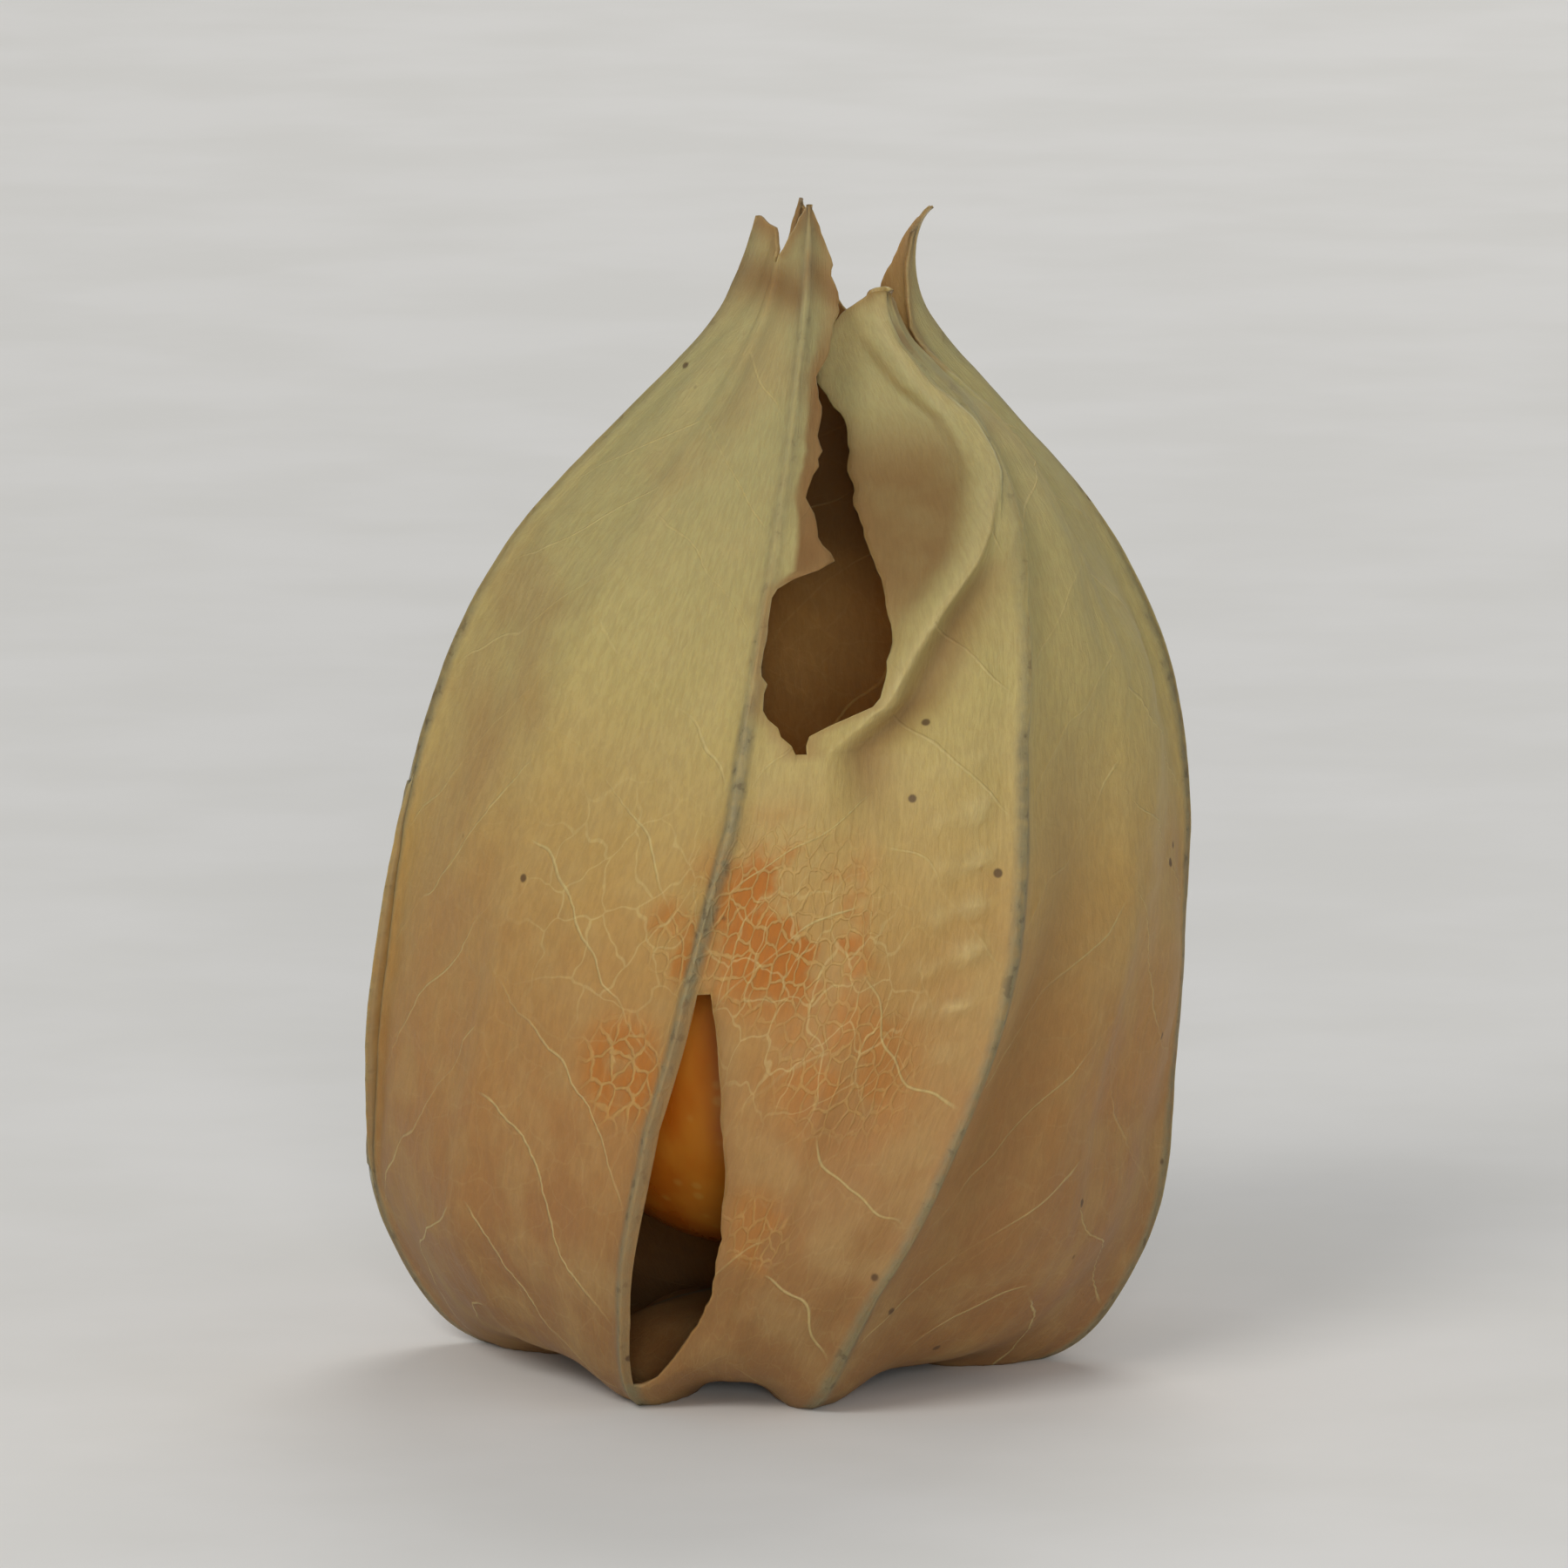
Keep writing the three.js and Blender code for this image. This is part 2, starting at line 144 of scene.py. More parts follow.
FOLD_TURN = [
    (0.639, 0), (0.667, 20), (0.694, 35), (0.722, 45), (0.75, 50), (0.83, 52), (0.89, 55), (0.92, 45),
    (1, 15),
]
print(f"the slit runs from {SLIT_STARTS:.2f} to {SLIT_ENDS:.2f} and the mouth from {MOUTH_STARTS:.2f} up")


# %% Small mathematics: tables, soft steps and a smooth curve through points
def mix(a, b, share):
    return a + (b - a) * share


def ease(x, start, end):
    share = min(1.0, max(0.0, (x - start) / (end - start)))
    return share * share * (3 - 2 * share)


def along(table, x):
    """The value of a table of (place, value) at x, by straight lines."""
    if x <= table[0][0]:
        return table[0][1]
    for (x0, y0), (x1, y1) in zip(table, table[1:]):
        if x <= x1:
            return mix(y0, y1, (x - x0) / (x1 - x0))
    return table[-1][1]


def smooth_outline(points, s):
    """A point at share s of a smooth curve that passes through all the points."""
    place = (len(points) - 1) * s
    k = min(int(place), len(points) - 2)
    w = place - k
    a, b, c, d = (points[min(max(k + step, 0), len(points) - 1)] for step in (-1, 0, 1, 2))
    result = []
    for p0, p1, p2, p3 in zip(a, b, c, d):
        v0 = (p2 - p0) / 2
        v1 = (p3 - p1) / 2
        result.append(
            (2 * p1 - 2 * p2 + v0 + v1) * w**3 + (3 * p2 - 3 * p1 - 2 * v0 - v1) * w**2 + v0 * w + p1
        )
    return result


print("outline at half way:", [round(v, 3) for v in smooth_outline(RIB_OUTLINE, 0.5)])


# %% Where the ribs run
RIB_SWERVE = 1.3  # degrees
RIB_BULGE = 0.2


def axis_at(z):
    """Centre of the lantern at a height: it leans as it rises, and is upright again at the tip."""
    rise = z / HUSK_HEIGHT
    return BASE_OFFSET + LEAN * rise * (2 - rise)


@lru_cache(maxsize=None)
def rib_place(i, s):
    """Radius, azimuth and height of rib i at place s."""
    rib = RIBS[i % PANEL_COUNT]
    r, z = smooth_outline(RIB_OUTLINE, s)
    tip = max(0.0, (s - TIP_STARTS) / (1 - TIP_STARTS)) ** 2
    belly = ease(s, 0.2, 0.35) * (1 - ease(s, 0.85, 1))
    swerve = RIB_SWERVE * math.sin(9 * s + 2.1 * i) * belly
    turn = -BASE_TWIST * (1 - ease(s, 0.2, 0.52)) + TIP_TWIST * ease(s, 0.5, 1)
    girth = mix(1, mix(rib["low"], rib["high"], ease(s, 0.38, 0.68)), belly)
    bulge = RIB_BULGE * math.sin(11 * s + 1.7 * i) * belly
    radius = r * HUSK_RADIUS * girth + rib["spread"] * tip**2 + bulge
    azimuth = rib["azimuth"] + (360 if i >= PANEL_COUNT else 0) + turn + swerve + along(rib["swing"], s)
    return radius, math.radians(azimuth), z * HUSK_HEIGHT - rib["drop"] * tip


@lru_cache(maxsize=None)
def rib_point(i, s):
    radius, azimuth, z = rib_place(i, s)
    return Vector((axis_at(z) + radius * math.sin(azimuth), -radius * math.cos(azimuth), z))


@lru_cache(maxsize=None)
def panel_width(i, s):
    return (rib_point(i, s) - rib_point(i + 1, s)).length


@lru_cache(maxsize=None)
def keel_share(i, s):
    """Share of panel i that the keel of a rib takes up on each side."""
    return min(0.28, KEEL_REACH / panel_width(i, s))


print(f"the front panel is {panel_width(1, 0.5):.1f} mm wide half way up")


# %% Waves and hollows of the dry paper
WAVES = ((0.32, 1.4, 2.3, 0.7), (0.24, 2.2, -3.1, 2.1), (0.16, 0.6, 6.2, 4.0))


def wrinkle(i, t, s):
    """Low waves of dry paper, none at the ribs: each with a height, turns across and up, and a start."""
    turn = 2 * math.pi
    waves = sum(
        height * math.sin(turn * (across * (i + t) + up * s) + start)
        for height, across, up, start in WAVES
    )
    faded = math.sqrt(max(0, 4 * t * (1 - t))) * ease(s, 0.1, 0.3) * (1 - 0.6 * ease(s, 0.85, 1))
    return WAVINESS[i] * waves * faded


def pressed(t, s):
    """0 to 1: how deep a point lies in the hollow beside the front rib."""
    across = (t - DENT["at"][0]) / DENT["size"][0]
    upward = (s - DENT["at"][1]) / DENT["size"][1]
    return math.exp(-(across**2) - upward**2)


def valley(t, s):
    """0 to 1: how deep a point of the split panel lies in the valley to the right of its fold."""
    starts, deep, fades, ends = VALLEY_RUNS
    beside = (t - along(FOLD_PLACE, s) - VALLEY["beside"]) / VALLEY["width"]
    return math.exp(-(beside**2)) * ease(s, starts, deep) * (1 - ease(s, fades, ends))


def dent(i, t, s):
    """How far the paper is pressed in, in mm."""
    if i == DENT_PANEL:
        return DENT["depth"] * pressed(t, s)
    return VALLEY["depth"] * valley(t, s) if i == SPLIT_PANEL else 0.0


print("the panel right of the front rib is pressed in by", round(dent(DENT_PANEL, *DENT["at"]), 2), "mm")


# %% Blisters, side veins and crumple
BLISTER = 0.28
VEIN_SPACING = 5.2
SIDE_VEIN = 0.06
CRUMPLE = ((0.16, 0.28), (0.07, 0.8), (0.03, 2.1))


def blisters(t, s):
    """Small swellings of the split panel beside the front rib, in mm."""
    from_rib = (1 - t) * panel_width(SPLIT_PANEL, s)
    height = s * SHEET_LENGTH
    shift = noise.noise(Vector((from_rib, 0.5 * height, 4.0)))
    rows = math.sin(3.3 * height + 0.7 * from_rib + 1.6 * shift)
    files = 0.6 + 0.4 * math.sin(3.6 * from_rib + 0.5)
    beside = ease(from_rib, 0.8, 1.4) * (1 - ease(from_rib, 3.0, 4.2))
    return BLISTER * max(0.0, rows) * files * beside * ease(s, 0.44, 0.5) * (1 - ease(s, 0.61, 0.66))


@lru_cache(maxsize=None)
def vein_phase(i, t, s):
    """A number that is whole on each vein that branches from a rib and arches up towards the middle."""
    from_rib = min(t, 1 - t) * panel_width(i, s)
    side = 0 if t < 0.5 else 1
    height = s * SHEET_LENGTH
    bend = 2.4 * noise.noise(Vector((from_rib * 0.14 + 7 * side, height * 0.1, i * 3.1)))
    bend += 0.5 * noise.noise(Vector((from_rib * 0.6 + 7 * side, height * 0.5, i * 3.1)))
    return (height - 1.1 * from_rib**0.9 + bend + 1.9 * side + 1.3 * i) / VEIN_SPACING


def side_veins(i, t, s):
    """0 to 1: how much a point lies on such a vein."""
    phase = vein_phase(i, t, s)
    away = abs(phase - round(phase)) * VEIN_SPACING
    return (1 - ease(away, 0.1, 0.42)) * ease(s, 0.16, 0.3) * (1 - ease(s, 0.84, 0.94))


def crumple(point):
    """The fine unevenness of paper that dried on the plant, in mm, at three finenesses."""
    return sum(height * noise.noise(point * fineness) for height, fineness in CRUMPLE)


print("a side vein is near here, 0 to 1:", round(side_veins(1, 0.3, 0.5), 2))


# %% A point of the lantern
def panel_point(i, t, s, relief=1):
    """A point of panel i, at share t of the way to the next rib and at place s. Relief 0 is plain."""
    radius_from, _, _ = rib_place(i, s)
    radius_to, _, _ = rib_place(i + 1, s)
    chord = rib_point(i, s).lerp(rib_point(i + 1, s), t)
    across = Vector((chord.x - axis_at(chord.z), chord.y))
    beside = min(t, 1 - t) / keel_share(i, s)
    keel = KEEL * max(0.0, 1 - beside) ** 1.5 * ease(s, 0.02, 0.2)
    vein = MID_VEIN * (1 - ease(abs(t - 0.5), 0.02, 0.06)) * ease(s, 0.1, 0.3)
    vein += SIDE_VEIN * side_veins(i, t, s) * ease(beside, 0.5, 1.1)
    if i == SPLIT_PANEL:
        vein += blisters(t, s)
    rough = crumple(chord) * ease(s, 0.16, 0.3) * (0.4 + 0.6 * ease(beside, 0.2, 1.5))
    radius = mix(across.length, mix(radius_from, radius_to, t), along(ROUNDNESS, s))
    across.length = radius - dent(i, t, s) + relief * (wrinkle(i, t, s) + keel + vein + rough)
    web = ease(4 * t * (1 - t), 0.3, 1)
    lift = WEB_LIFT * web * ease(s, 0.03, 0.15) * (1 - ease(s, 0.2, 0.36))
    z = max(0.0, chord.z + lift - FOOT_CUT * ease(s, 0.05, 0.14) * (1 - ease(s, 0.22, 0.3)))
    return Vector((axis_at(z) + across.x, across.y, z))


print("a point of the front panel, mm:", [round(v, 1) for v in panel_point(1, 0.5, 0.5)])


# %% [markdown]
# ## The tears
#
# Dry paper tears in ragged lines. Each panel has one parting line, a left and a right edge that meet
# where the paper is whole. Between two lobes it opens in a notch. In the split panel it opens twice: as a
# slit low down, and as the mouth, whose right edge is folded into the lantern. Small jags are added only
# where it is open.

# %% Edges of the parting lines
JAGS = ((0.16, 55, 5.0), (0.09, 170, 9.0))
REMNANT_RAGGED = 1.6
PARTING_RAGGED = 2.4
FOLD_RAGGED = 1.4


def jag(i, s, side):
    """A ragged edge's swerve in mm: coarse jags, with finer ones on them."""
    return sum(
        height * noise.noise(Vector((s * fineness, 3.7 * i, side * apart)))
        for height, fineness, apart in JAGS
    )


def slit_width(s):
    share = min(1.0, max(0.0, (s - SLIT_STARTS) / (SLIT_ENDS - SLIT_STARTS)))
    return SLIT_WIDTH * abs(math.sin(math.pi * share**SLIT_SKEW))


def is_open(i, s):
    if i != SPLIT_PANEL:
        return s > SINUS_STARTS[i]
    return s > MOUTH_STARTS or SLIT_STARTS < s < SLIT_ENDS


@lru_cache(maxsize=None)
def seam(i, s):
    """Left and right edge of panel i's parting line, as shares of the panel."""
    width = panel_width(i, s)
    ragged = [0.0, 0.0]
    if is_open(i, s) and s < 0.995:
        ragged = [jag(i, s, side) / width for side in (0, 1)]
    if i != SPLIT_PANEL:
        opening = ease(s, SINUS_STARTS[i], 1.01) * (0.5 - LOBE_TIP)
        jagged = ease(s, SINUS_STARTS[i], SINUS_STARTS[i] + 0.03)
        return 0.5 - SEAM - opening + ragged[0] * jagged, 0.5 + SEAM + opening + ragged[1] * jagged
    edge = along(FOLD_PLACE, s) - along(FOLD_REACH, s) / width
    if s >= MOUTH_WIDE:
        left = along(REMNANT_MM, s) / width + REMNANT_RAGGED * ragged[0]
        return max(0.02, min(0.35, left)), edge
    left = along(PARTING_PLACE, s) + (PARTING_RAGGED * ragged[0] if s > MOUTH_STARTS else 0.0)
    right = left + 2 * SEAM + slit_width(s) / width + ragged[1] * (slit_width(s) / SLIT_WIDTH)
    return left, mix(right, edge, ease(s, MOUTH_STARTS, MOUTH_WIDE))


print("slit at its widest:", round(max(slit_width(0.25 + 0.01 * k) for k in range(25)), 2), "mm")


# %% The folded-in edge, and the loose edge of the slit
def outward(point):
    return Vector((point.x - axis_at(point.z), point.y, 0)).normalized()


def crest(distance, s):
    """Height of the pinched crease along the fold, at a distance from it, in mm."""
    runs = ease(s, 0.6, 0.7) * (1 - ease(s, 0.9, 0.97))
    return FOLD_CREST * math.exp(-((distance / CREST_WIDTH) ** 2)) * runs


def folded_point(distance, s):
    """The mouth's right edge at a distance from its fold. It turns in, then flattens out."""
    fold = along(FOLD_PLACE, s)
    hinge = panel_point(SPLIT_PANEL, fold, s)
    hinge += outward(hinge) * crest(distance, s)
    direction = panel_point(SPLIT_PANEL, fold - 0.08, s, 0) - panel_point(SPLIT_PANEL, fold, s, 0)
    direction.z = 0
    direction.normalize()
    turn = math.radians(along(FOLD_TURN, s)) * ease(distance, 0, FOLD_RADIUS)
    turn *= 1 - FOLD_FLATTENS * distance
    direction.rotate(Matrix.Rotation(-turn, 3, "Z"))
    return hinge + direction * distance


def split_point(t, s):
    point = panel_point(SPLIT_PANEL, t, s)
    right = seam(SPLIT_PANEL, s)[1]
    loose = (1 - ease(t, right, right + 0.25)) * slit_width(s) / SLIT_WIDTH
    inward = Vector((-point.x, -point.y, 0)).normalized()
    from_fold = abs(t - along(FOLD_PLACE, s)) * panel_width(SPLIT_PANEL, s)
    return point + inward * SLIT_CURL * loose + outward(point) * crest(from_fold, s)


print("deepest point of the folded edge, mm:", [round(v, 1) for v in folded_point(6, 0.8)])

# %% [markdown]
# ## The husk as one sheet
#
# The real husk is one grown sheet, so it is one mesh. A flat grid is made with a column for each strip of
# paper and a row for each step up the lantern. Every vertex is then carried to its place by the formula,
# the cells where the paper has parted are deleted, the first and last columns are joined, and a Solidify
# modifier gives the sheet its thickness. Columns stand closer at a rib, where the paper bends sharply.

# %% Columns of the sheet
ROWS = 200


def steps(count, last=False):
    return [k / count for k in range(count + (1 if last else 0))]


def sheet_columns():
    """A list of (panel, strip, share) in order round the husk."""
    columns = []
    for panel in range(PANEL_COUNT):
        columns += [(panel, "crest", share) for share in steps(4)]
        if panel == SPLIT_PANEL:
            columns += [(panel, "left", share) for share in steps(5, last=True)]
            columns += [(panel, "folded", share) for share in steps(16)]
            columns += [(panel, "front", share) for share in steps(16)]
        else:
            columns += [(panel, "left", share) for share in steps(18, last=True)]
            columns += [(panel, "right", share) for share in steps(18)]
        columns += [(panel, "rise", share) for share in steps(4)]
    return columns


COLUMNS = sheet_columns()
print(len(COLUMNS), "columns and", ROWS, "rows")


# %% Where a vertex of the sheet goes
def place_in_panel(column, s):
    """The share t of its panel at which a column stands, and None for a folded-in strip."""
    panel, strip, share = column
    left, right = seam(panel, s)
    keel = min(keel_share(panel, s), 0.6 * left)
    fold = along(FOLD_PLACE, s)
    far_keel = min(keel_share(panel, s), 0.45 * (1 - fold) if panel == SPLIT_PANEL else 0.6 * (1 - right))
    if strip == "crest":
        return share * keel
    if strip == "left":
        return mix(keel, left, share)
    if strip == "right":
        return mix(right, 1 - far_keel, share)
    if strip == "front":
        return mix(fold, 1 - far_keel, share)
    if strip == "rise":
        return mix(1 - far_keel, 1, share)
    return mix(right, fold, share) if s < MOUTH_WIDE else None


def sheet_point(column, s):
    panel, strip, share = column
    t = place_in_panel(column, s)
    if t is None:
        ragged = FOLD_RAGGED * jag(panel, s, 1) * ease(s, MOUTH_WIDE, MOUTH_WIDE + 0.03)
        reach = along(FOLD_REACH, s) + ragged
        return folded_point(reach * (1 - share), s)
    if panel == SPLIT_PANEL and strip in ("folded", "front"):
        return split_point(t, s)
    return panel_point(panel, t, s)


print("left edge of the mouth:", [round(v, 1) for v in sheet_point((1, "left", 1.0), 0.7)])


# %% What each vertex remembers for its finish
MARKS = ("rib", "phase", "hair", "torn", "fold", "brown_and_shade", "blister_highlight")


def lapel_marks(share, s):
    """Marks of the folded-in edge, at a share of the way from its torn edge to the fold."""
    reach = along(FOLD_REACH, s)
    from_fold = reach * (1 - share)
    low_part = ease(s, 0.68, 0.74) * (1 - ease(s, 0.79, 0.87))
    return {
        "torn": 0.5 * (1 - ease(reach * share, 0.1, 0.7)),
        # Near the crease the fold mark gives a painted highlight, and through the roughness a real gloss.
        "fold": (1 - ease(from_fold, 0.12, 0.5)) * ease(s, 0.62, 0.7),
        # The middle of the folded-in edge gets brown as painted shade; its tips get dried brown.
        "brown_and_shade": max(0.85 * ease(from_fold, 0.2, 1.6) * low_part, 0.6 * ease(s, 0.94, 0.99)),
    }


def brown_and_shade_share(panel, strip, t, s):
    """0 to 1: brown where the paper has dried at the tips and on the torn strip left of the mouth, and
    painted shade in the crumple below the left tips, the hollow right of the front rib and the valley
    beside the fold.
    """
    brown_and_shade = 0.8 * ease(s, 0.94, 1.0)
    # Painted shade of a crumple across the left lobes, below their tips.
    if panel in (0, SPLIT_PANEL) and strip != "front":
        brown_and_shade = max(brown_and_shade, 0.85 * math.exp(-(((s - 0.945 + 0.02 * t) / 0.018) ** 2)))
    # Painted shade in the hollow right of the front rib.
    if panel == DENT_PANEL:
        brown_and_shade = max(brown_and_shade, 0.6 * pressed(t, s))
    # Painted shade in the valley beside the fold.
    if panel == SPLIT_PANEL and strip in ("folded", "front", "rise"):
        brown_and_shade = max(brown_and_shade, 0.8 * valley(t, s))
    if panel == SPLIT_PANEL and strip == "left":
        from_rib = t * panel_width(panel, s)
        brown_and_shade = max(brown_and_shade, ease(from_rib, 0.3, 0.9) * ease(s, 0.7, 0.73) * (1 - ease(s, 0.86, 0.92)))
    return brown_and_shade


def paper_marks(column, s):
    """How near a vertex is to a rib, a torn edge and the fold, how brown or painted with shade it is, how
    much painted highlight its blister gets, and its veins.
    """
    panel, strip, share = column
    t = place_in_panel(column, s)
    if t is None:
        return {"rib": 0.0, "phase": 0.5, "hair": 0.0, "blister_highlight": 0.0, **lapel_marks(share, s)}
    width = panel_width(panel, s)
    from_rib = min(t, 1 - t) * width
    left, right = seam(panel, s)
    torn = 0.0
    if is_open(panel, s):
        from_edge = (left - t if strip in ("crest", "left") else t - right) * width
        torn = 1 - ease(abs(from_edge), 0.1, 0.9)
    fold = 0.0
    # The fold mark: a painted highlight along the crease, and a real gloss in the roughness.
    if panel == SPLIT_PANEL and strip in ("folded", "front"):
        from_fold = abs(t - along(FOLD_PLACE, s)) * width
        fold = (1 - ease(from_fold, 0.12, 0.45)) * ease(s, 0.62, 0.7)
    return {
        "rib": (1 - ease(from_rib, 0.15, 0.6)) * (1 - 0.55 * ease(s, 0.62, 0.75)),
        "phase": vein_phase(panel, t, s),
        "hair": ease(from_rib, 0.5, 1.4) * ease(abs(t - 0.5), 0.02, 0.05) * (1 - ease(s, 0.84, 0.92)),
        "torn": torn,
        "fold": fold,
        "brown_and_shade": brown_and_shade_share(panel, strip, t, s),
        # Painted highlight on the tops of the blisters.
        "blister_highlight": blisters(t, s) / BLISTER if panel == SPLIT_PANEL else 0.0,
    }


print("marks on a rib:", paper_marks((1, "crest", 0.0), 0.5))


# %% Make the sheet
def finish_mesh(name, bm, smooth=True):
    """Turns a bmesh into an object at the origin."""
    mesh = bpy.data.meshes.new(name)
    bm.to_mesh(mesh)
    bm.free()
    piece = bpy.data.objects.new(name, mesh)
    bpy.context.scene.collection.objects.link(piece)
    if smooth:
        mesh.shade_smooth()
    return piece


def husk_sheet():
    bm = bmesh.new()
    count = len(COLUMNS)
    bmesh.ops.create_grid(bm, x_segments=count, y_segments=ROWS, size=0.5)
    uv_layer = bm.loops.layers.uv.new("paper")
    marks = {name: bm.verts.layers.float.new(name) for name in MARKS}
    cell = {}
    for vert in bm.verts:
        cell[vert] = (round((vert.co.x + 0.5) * count), round((vert.co.y + 0.5) * ROWS))
    parted = []
    for face in bm.faces:
        column = min(cell[vert][0] for vert in face.verts)
        row = min(cell[vert][1] for vert in face.verts)
        panel, strip, share = COLUMNS[column]
        for loop in face.loops:
            k, row_of_loop = cell[loop.vert]
            k_panel, _, k_share = COLUMNS[k % count]
            s = row_of_loop / ROWS
            t = place_in_panel(COLUMNS[k % count], s)
            if t is None:
                t = mix(seam(SPLIT_PANEL, s)[1], along(FOLD_PLACE, s), k_share)
            turn = PANEL_COUNT if k == count else k_panel
            loop[uv_layer].uv = ((turn + t) / PANEL_COUNT, s)
        if strip == "left" and share == 1.0 and is_open(panel, (row + 0.5) / ROWS):
            parted.append(face)
    for vert, (k, row) in cell.items():
        column = COLUMNS[k % count]
        s = row / ROWS
        for name, value in paper_marks(column, s).items():
            vert[marks[name]] = value
        vert.co = sheet_point(column, s) * MM
    bmesh.ops.delete(bm, geom=parted, context="FACES")
    bmesh.ops.remove_doubles(bm, verts=bm.verts, dist=2e-6)
    bmesh.ops.recalc_face_normals(bm, faces=bm.faces)
    return finish_mesh("husk_paper", bm)


PAPER_THICKNESS = 0.18 * MM
husk = husk_sheet()
wall = husk.modifiers.new("paper thickness", "SOLIDIFY")
wall.thickness = PAPER_THICKNESS
wall.offset = -1
wall.use_rim = True
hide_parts("husk")
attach(husk, "root")
print("husk sheet:", len(husk.data.polygons), "faces")

# %% [markdown]
# ## The berry
#
# The berry is nearly a ball. A sphere is a good start, as long as it doesn't stay one: the berry is
# faintly lobed, sunk round its stalk, and has a small dark scar at the top, where the flower was.


# %% Shape the berry
# These are shares of its radius.
BERRY_LOBES = 0.006
BERRY_UNEVEN = 0.006
STALK_HOLLOW = 0.045
SCAR_HOLLOW = 0.022
SCAR_BUTTON = 0.012


def ripe_berry():
    low, high = (Vector(corner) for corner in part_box("berry"))
    centre = (low + high) / 2
    half = (high - low) / 2
    bm = bmesh.new()
    bmesh.ops.create_uvsphere(bm, u_segments=96, v_segments=72, radius=1)
    for vert in bm.verts:
        direction = vert.co.normalized()
        angle = math.atan2(direction.y, direction.x)
        from_top = math.acos(max(-1, min(1, direction.z)))
        from_foot = math.pi - from_top
        lobes = BERRY_LOBES * math.sin(2 * angle + 0.6) * math.sin(from_top)
        size = 0.99 + lobes + BERRY_UNEVEN * noise.noise(direction * 1.7)
        size -= STALK_HOLLOW * math.exp(-((from_foot / 0.24) ** 2))
        hollow = SCAR_HOLLOW * math.exp(-((from_top / 0.13) ** 2))
        size -= hollow - SCAR_BUTTON * math.exp(-((from_top / 0.05) ** 2))
        vert.co = direction * size
        vert.co = Vector((vert.co.x * half.x, vert.co.y * half.y, vert.co.z * half.z)) + centre
    return finish_mesh("berry_skin", bm)


berry = ripe_berry()
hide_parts("berry")
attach(berry, "root")
BERRY_CENTRE = [sum(pair) / 2 for pair in zip(*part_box("berry"))]
BERRY_RADIUS = (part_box("berry")[1][0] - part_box("berry")[0][0]) / 2
print(f"berry {2 * BERRY_RADIUS / MM:.1f} mm across")

# %% [markdown]
# ## The stalk
#
# Under the husk a short end of the fruit stalk is left. Its outline is spun round the stalk's axis, and
# its vertices are pushed in and out round it, because a dry stalk shrinks into ridges.


# %% Spin the stalk
RIDGES = 7
RIDGE_DEPTH = 0.045  # a share of the stalk's radius
RIDGE_TWIST = 300  # radians a metre


def cut_stalk():
    low, high = (Vector(corner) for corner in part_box("stalk"))
    centre = (low + high) / 2
    seat = (high.x - low.x) / 2
    tall = high.z - low.z
    outline = [
        (0.0, 0.0), (0.42, 0.0), (0.52, 0.03), (0.53, 0.12), (0.5, 0.26), (0.56, 0.38), (0.68, 0.5),
        (0.72, 0.66), (0.74, 0.78), (0.98, 0.84), (1.0, 0.88), (0.94, 0.95), (0.8, 1.0), (0.0, 1.0),
    ]
    bm = bmesh.new()
    verts = [bm.verts.new((centre.x + r * seat, centre.y, low.z + z * tall)) for r, z in outline]
    edges = [bm.edges.new(pair) for pair in zip(verts, verts[1:])]
    bmesh.ops.spin(
        bm, geom=verts + edges, cent=centre, axis=(0, 0, 1), angle=2 * math.pi, steps=48, use_merge=True
    )
    bmesh.ops.remove_doubles(bm, verts=bm.verts, dist=1e-6)
    for vert in bm.verts:
        arm = Vector((vert.co.x - centre.x, vert.co.y - centre.y))
        angle = math.atan2(arm.y, arm.x)
        ridges = RIDGE_DEPTH * math.sin(RIDGES * angle + RIDGE_TWIST * vert.co.z)
        arm *= 0.95 + (ridges + 0.03 * noise.noise(vert.co * 2500))
        vert.co.x = centre.x + arm.x
        vert.co.y = centre.y + arm.y
    bmesh.ops.recalc_face_normals(bm, faces=bm.faces)
    return finish_mesh("stalk_end", bm)


stalk = cut_stalk()
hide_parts("stalk")
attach(stalk, "root")
print("stalk:", len(stalk.data.polygons), "faces")

# %% [markdown]
# ## Finishes
#
# The paper decides how real the husk looks. Its colour runs from a greenish straw at the tip to a warm
# tan at the foot, and is darker still at the very foot, partly as painted shade. Where the paper is worn
# thin, only a net of veins is left over orange, and near the berry a painted orange glow shows through.
# Hair-fine veins branch from the ribs. Brown lies on the dried tips, and the same brown is painted as
# shade in the pressed hollows, beside the fold, in the middle of the folded-in edge and in a crumple
# below the left tips. The fold's crease and the blisters get painted highlights, and the inner side gets
# painted shade at the foot and at the tip. Patterns that follow the paper are drawn on the sheet's own UV
# map, stretched to millimetres, or come from what the vertices remember. Those that don't are drawn in
# the object's own space.


# %% Helpers for node trees
def new_material(name):
    material = bpy.data.materials.new(name)
    material.use_nodes = True
    return material, material.node_tree, material.node_tree.nodes["Principled BSDF"]


def add_node(tree, kind, inputs=None, **settings):
    """Adds a node with its properties and inputs: a socket is linked, and anything else is a value."""
    made = tree.nodes.new(kind)
    for key, value in settings.items():
        setattr(made, key, value)
    for key, value in (inputs or {}).items():
        if isinstance(value, bpy.types.NodeSocket):
            tree.links.new(value, made.inputs[key])
        else:
            made.inputs[key].default_value = value
    return made


def linear(red, green, blue):
    """An 8-bit screen colour as linear light."""
    return tuple(
        (c / 255 / 12.92) if c / 255 <= 0.04045 else ((c / 255 + 0.055) / 1.055) ** 2.4
        for c in (red, green, blue)
    ) + (1.0,)


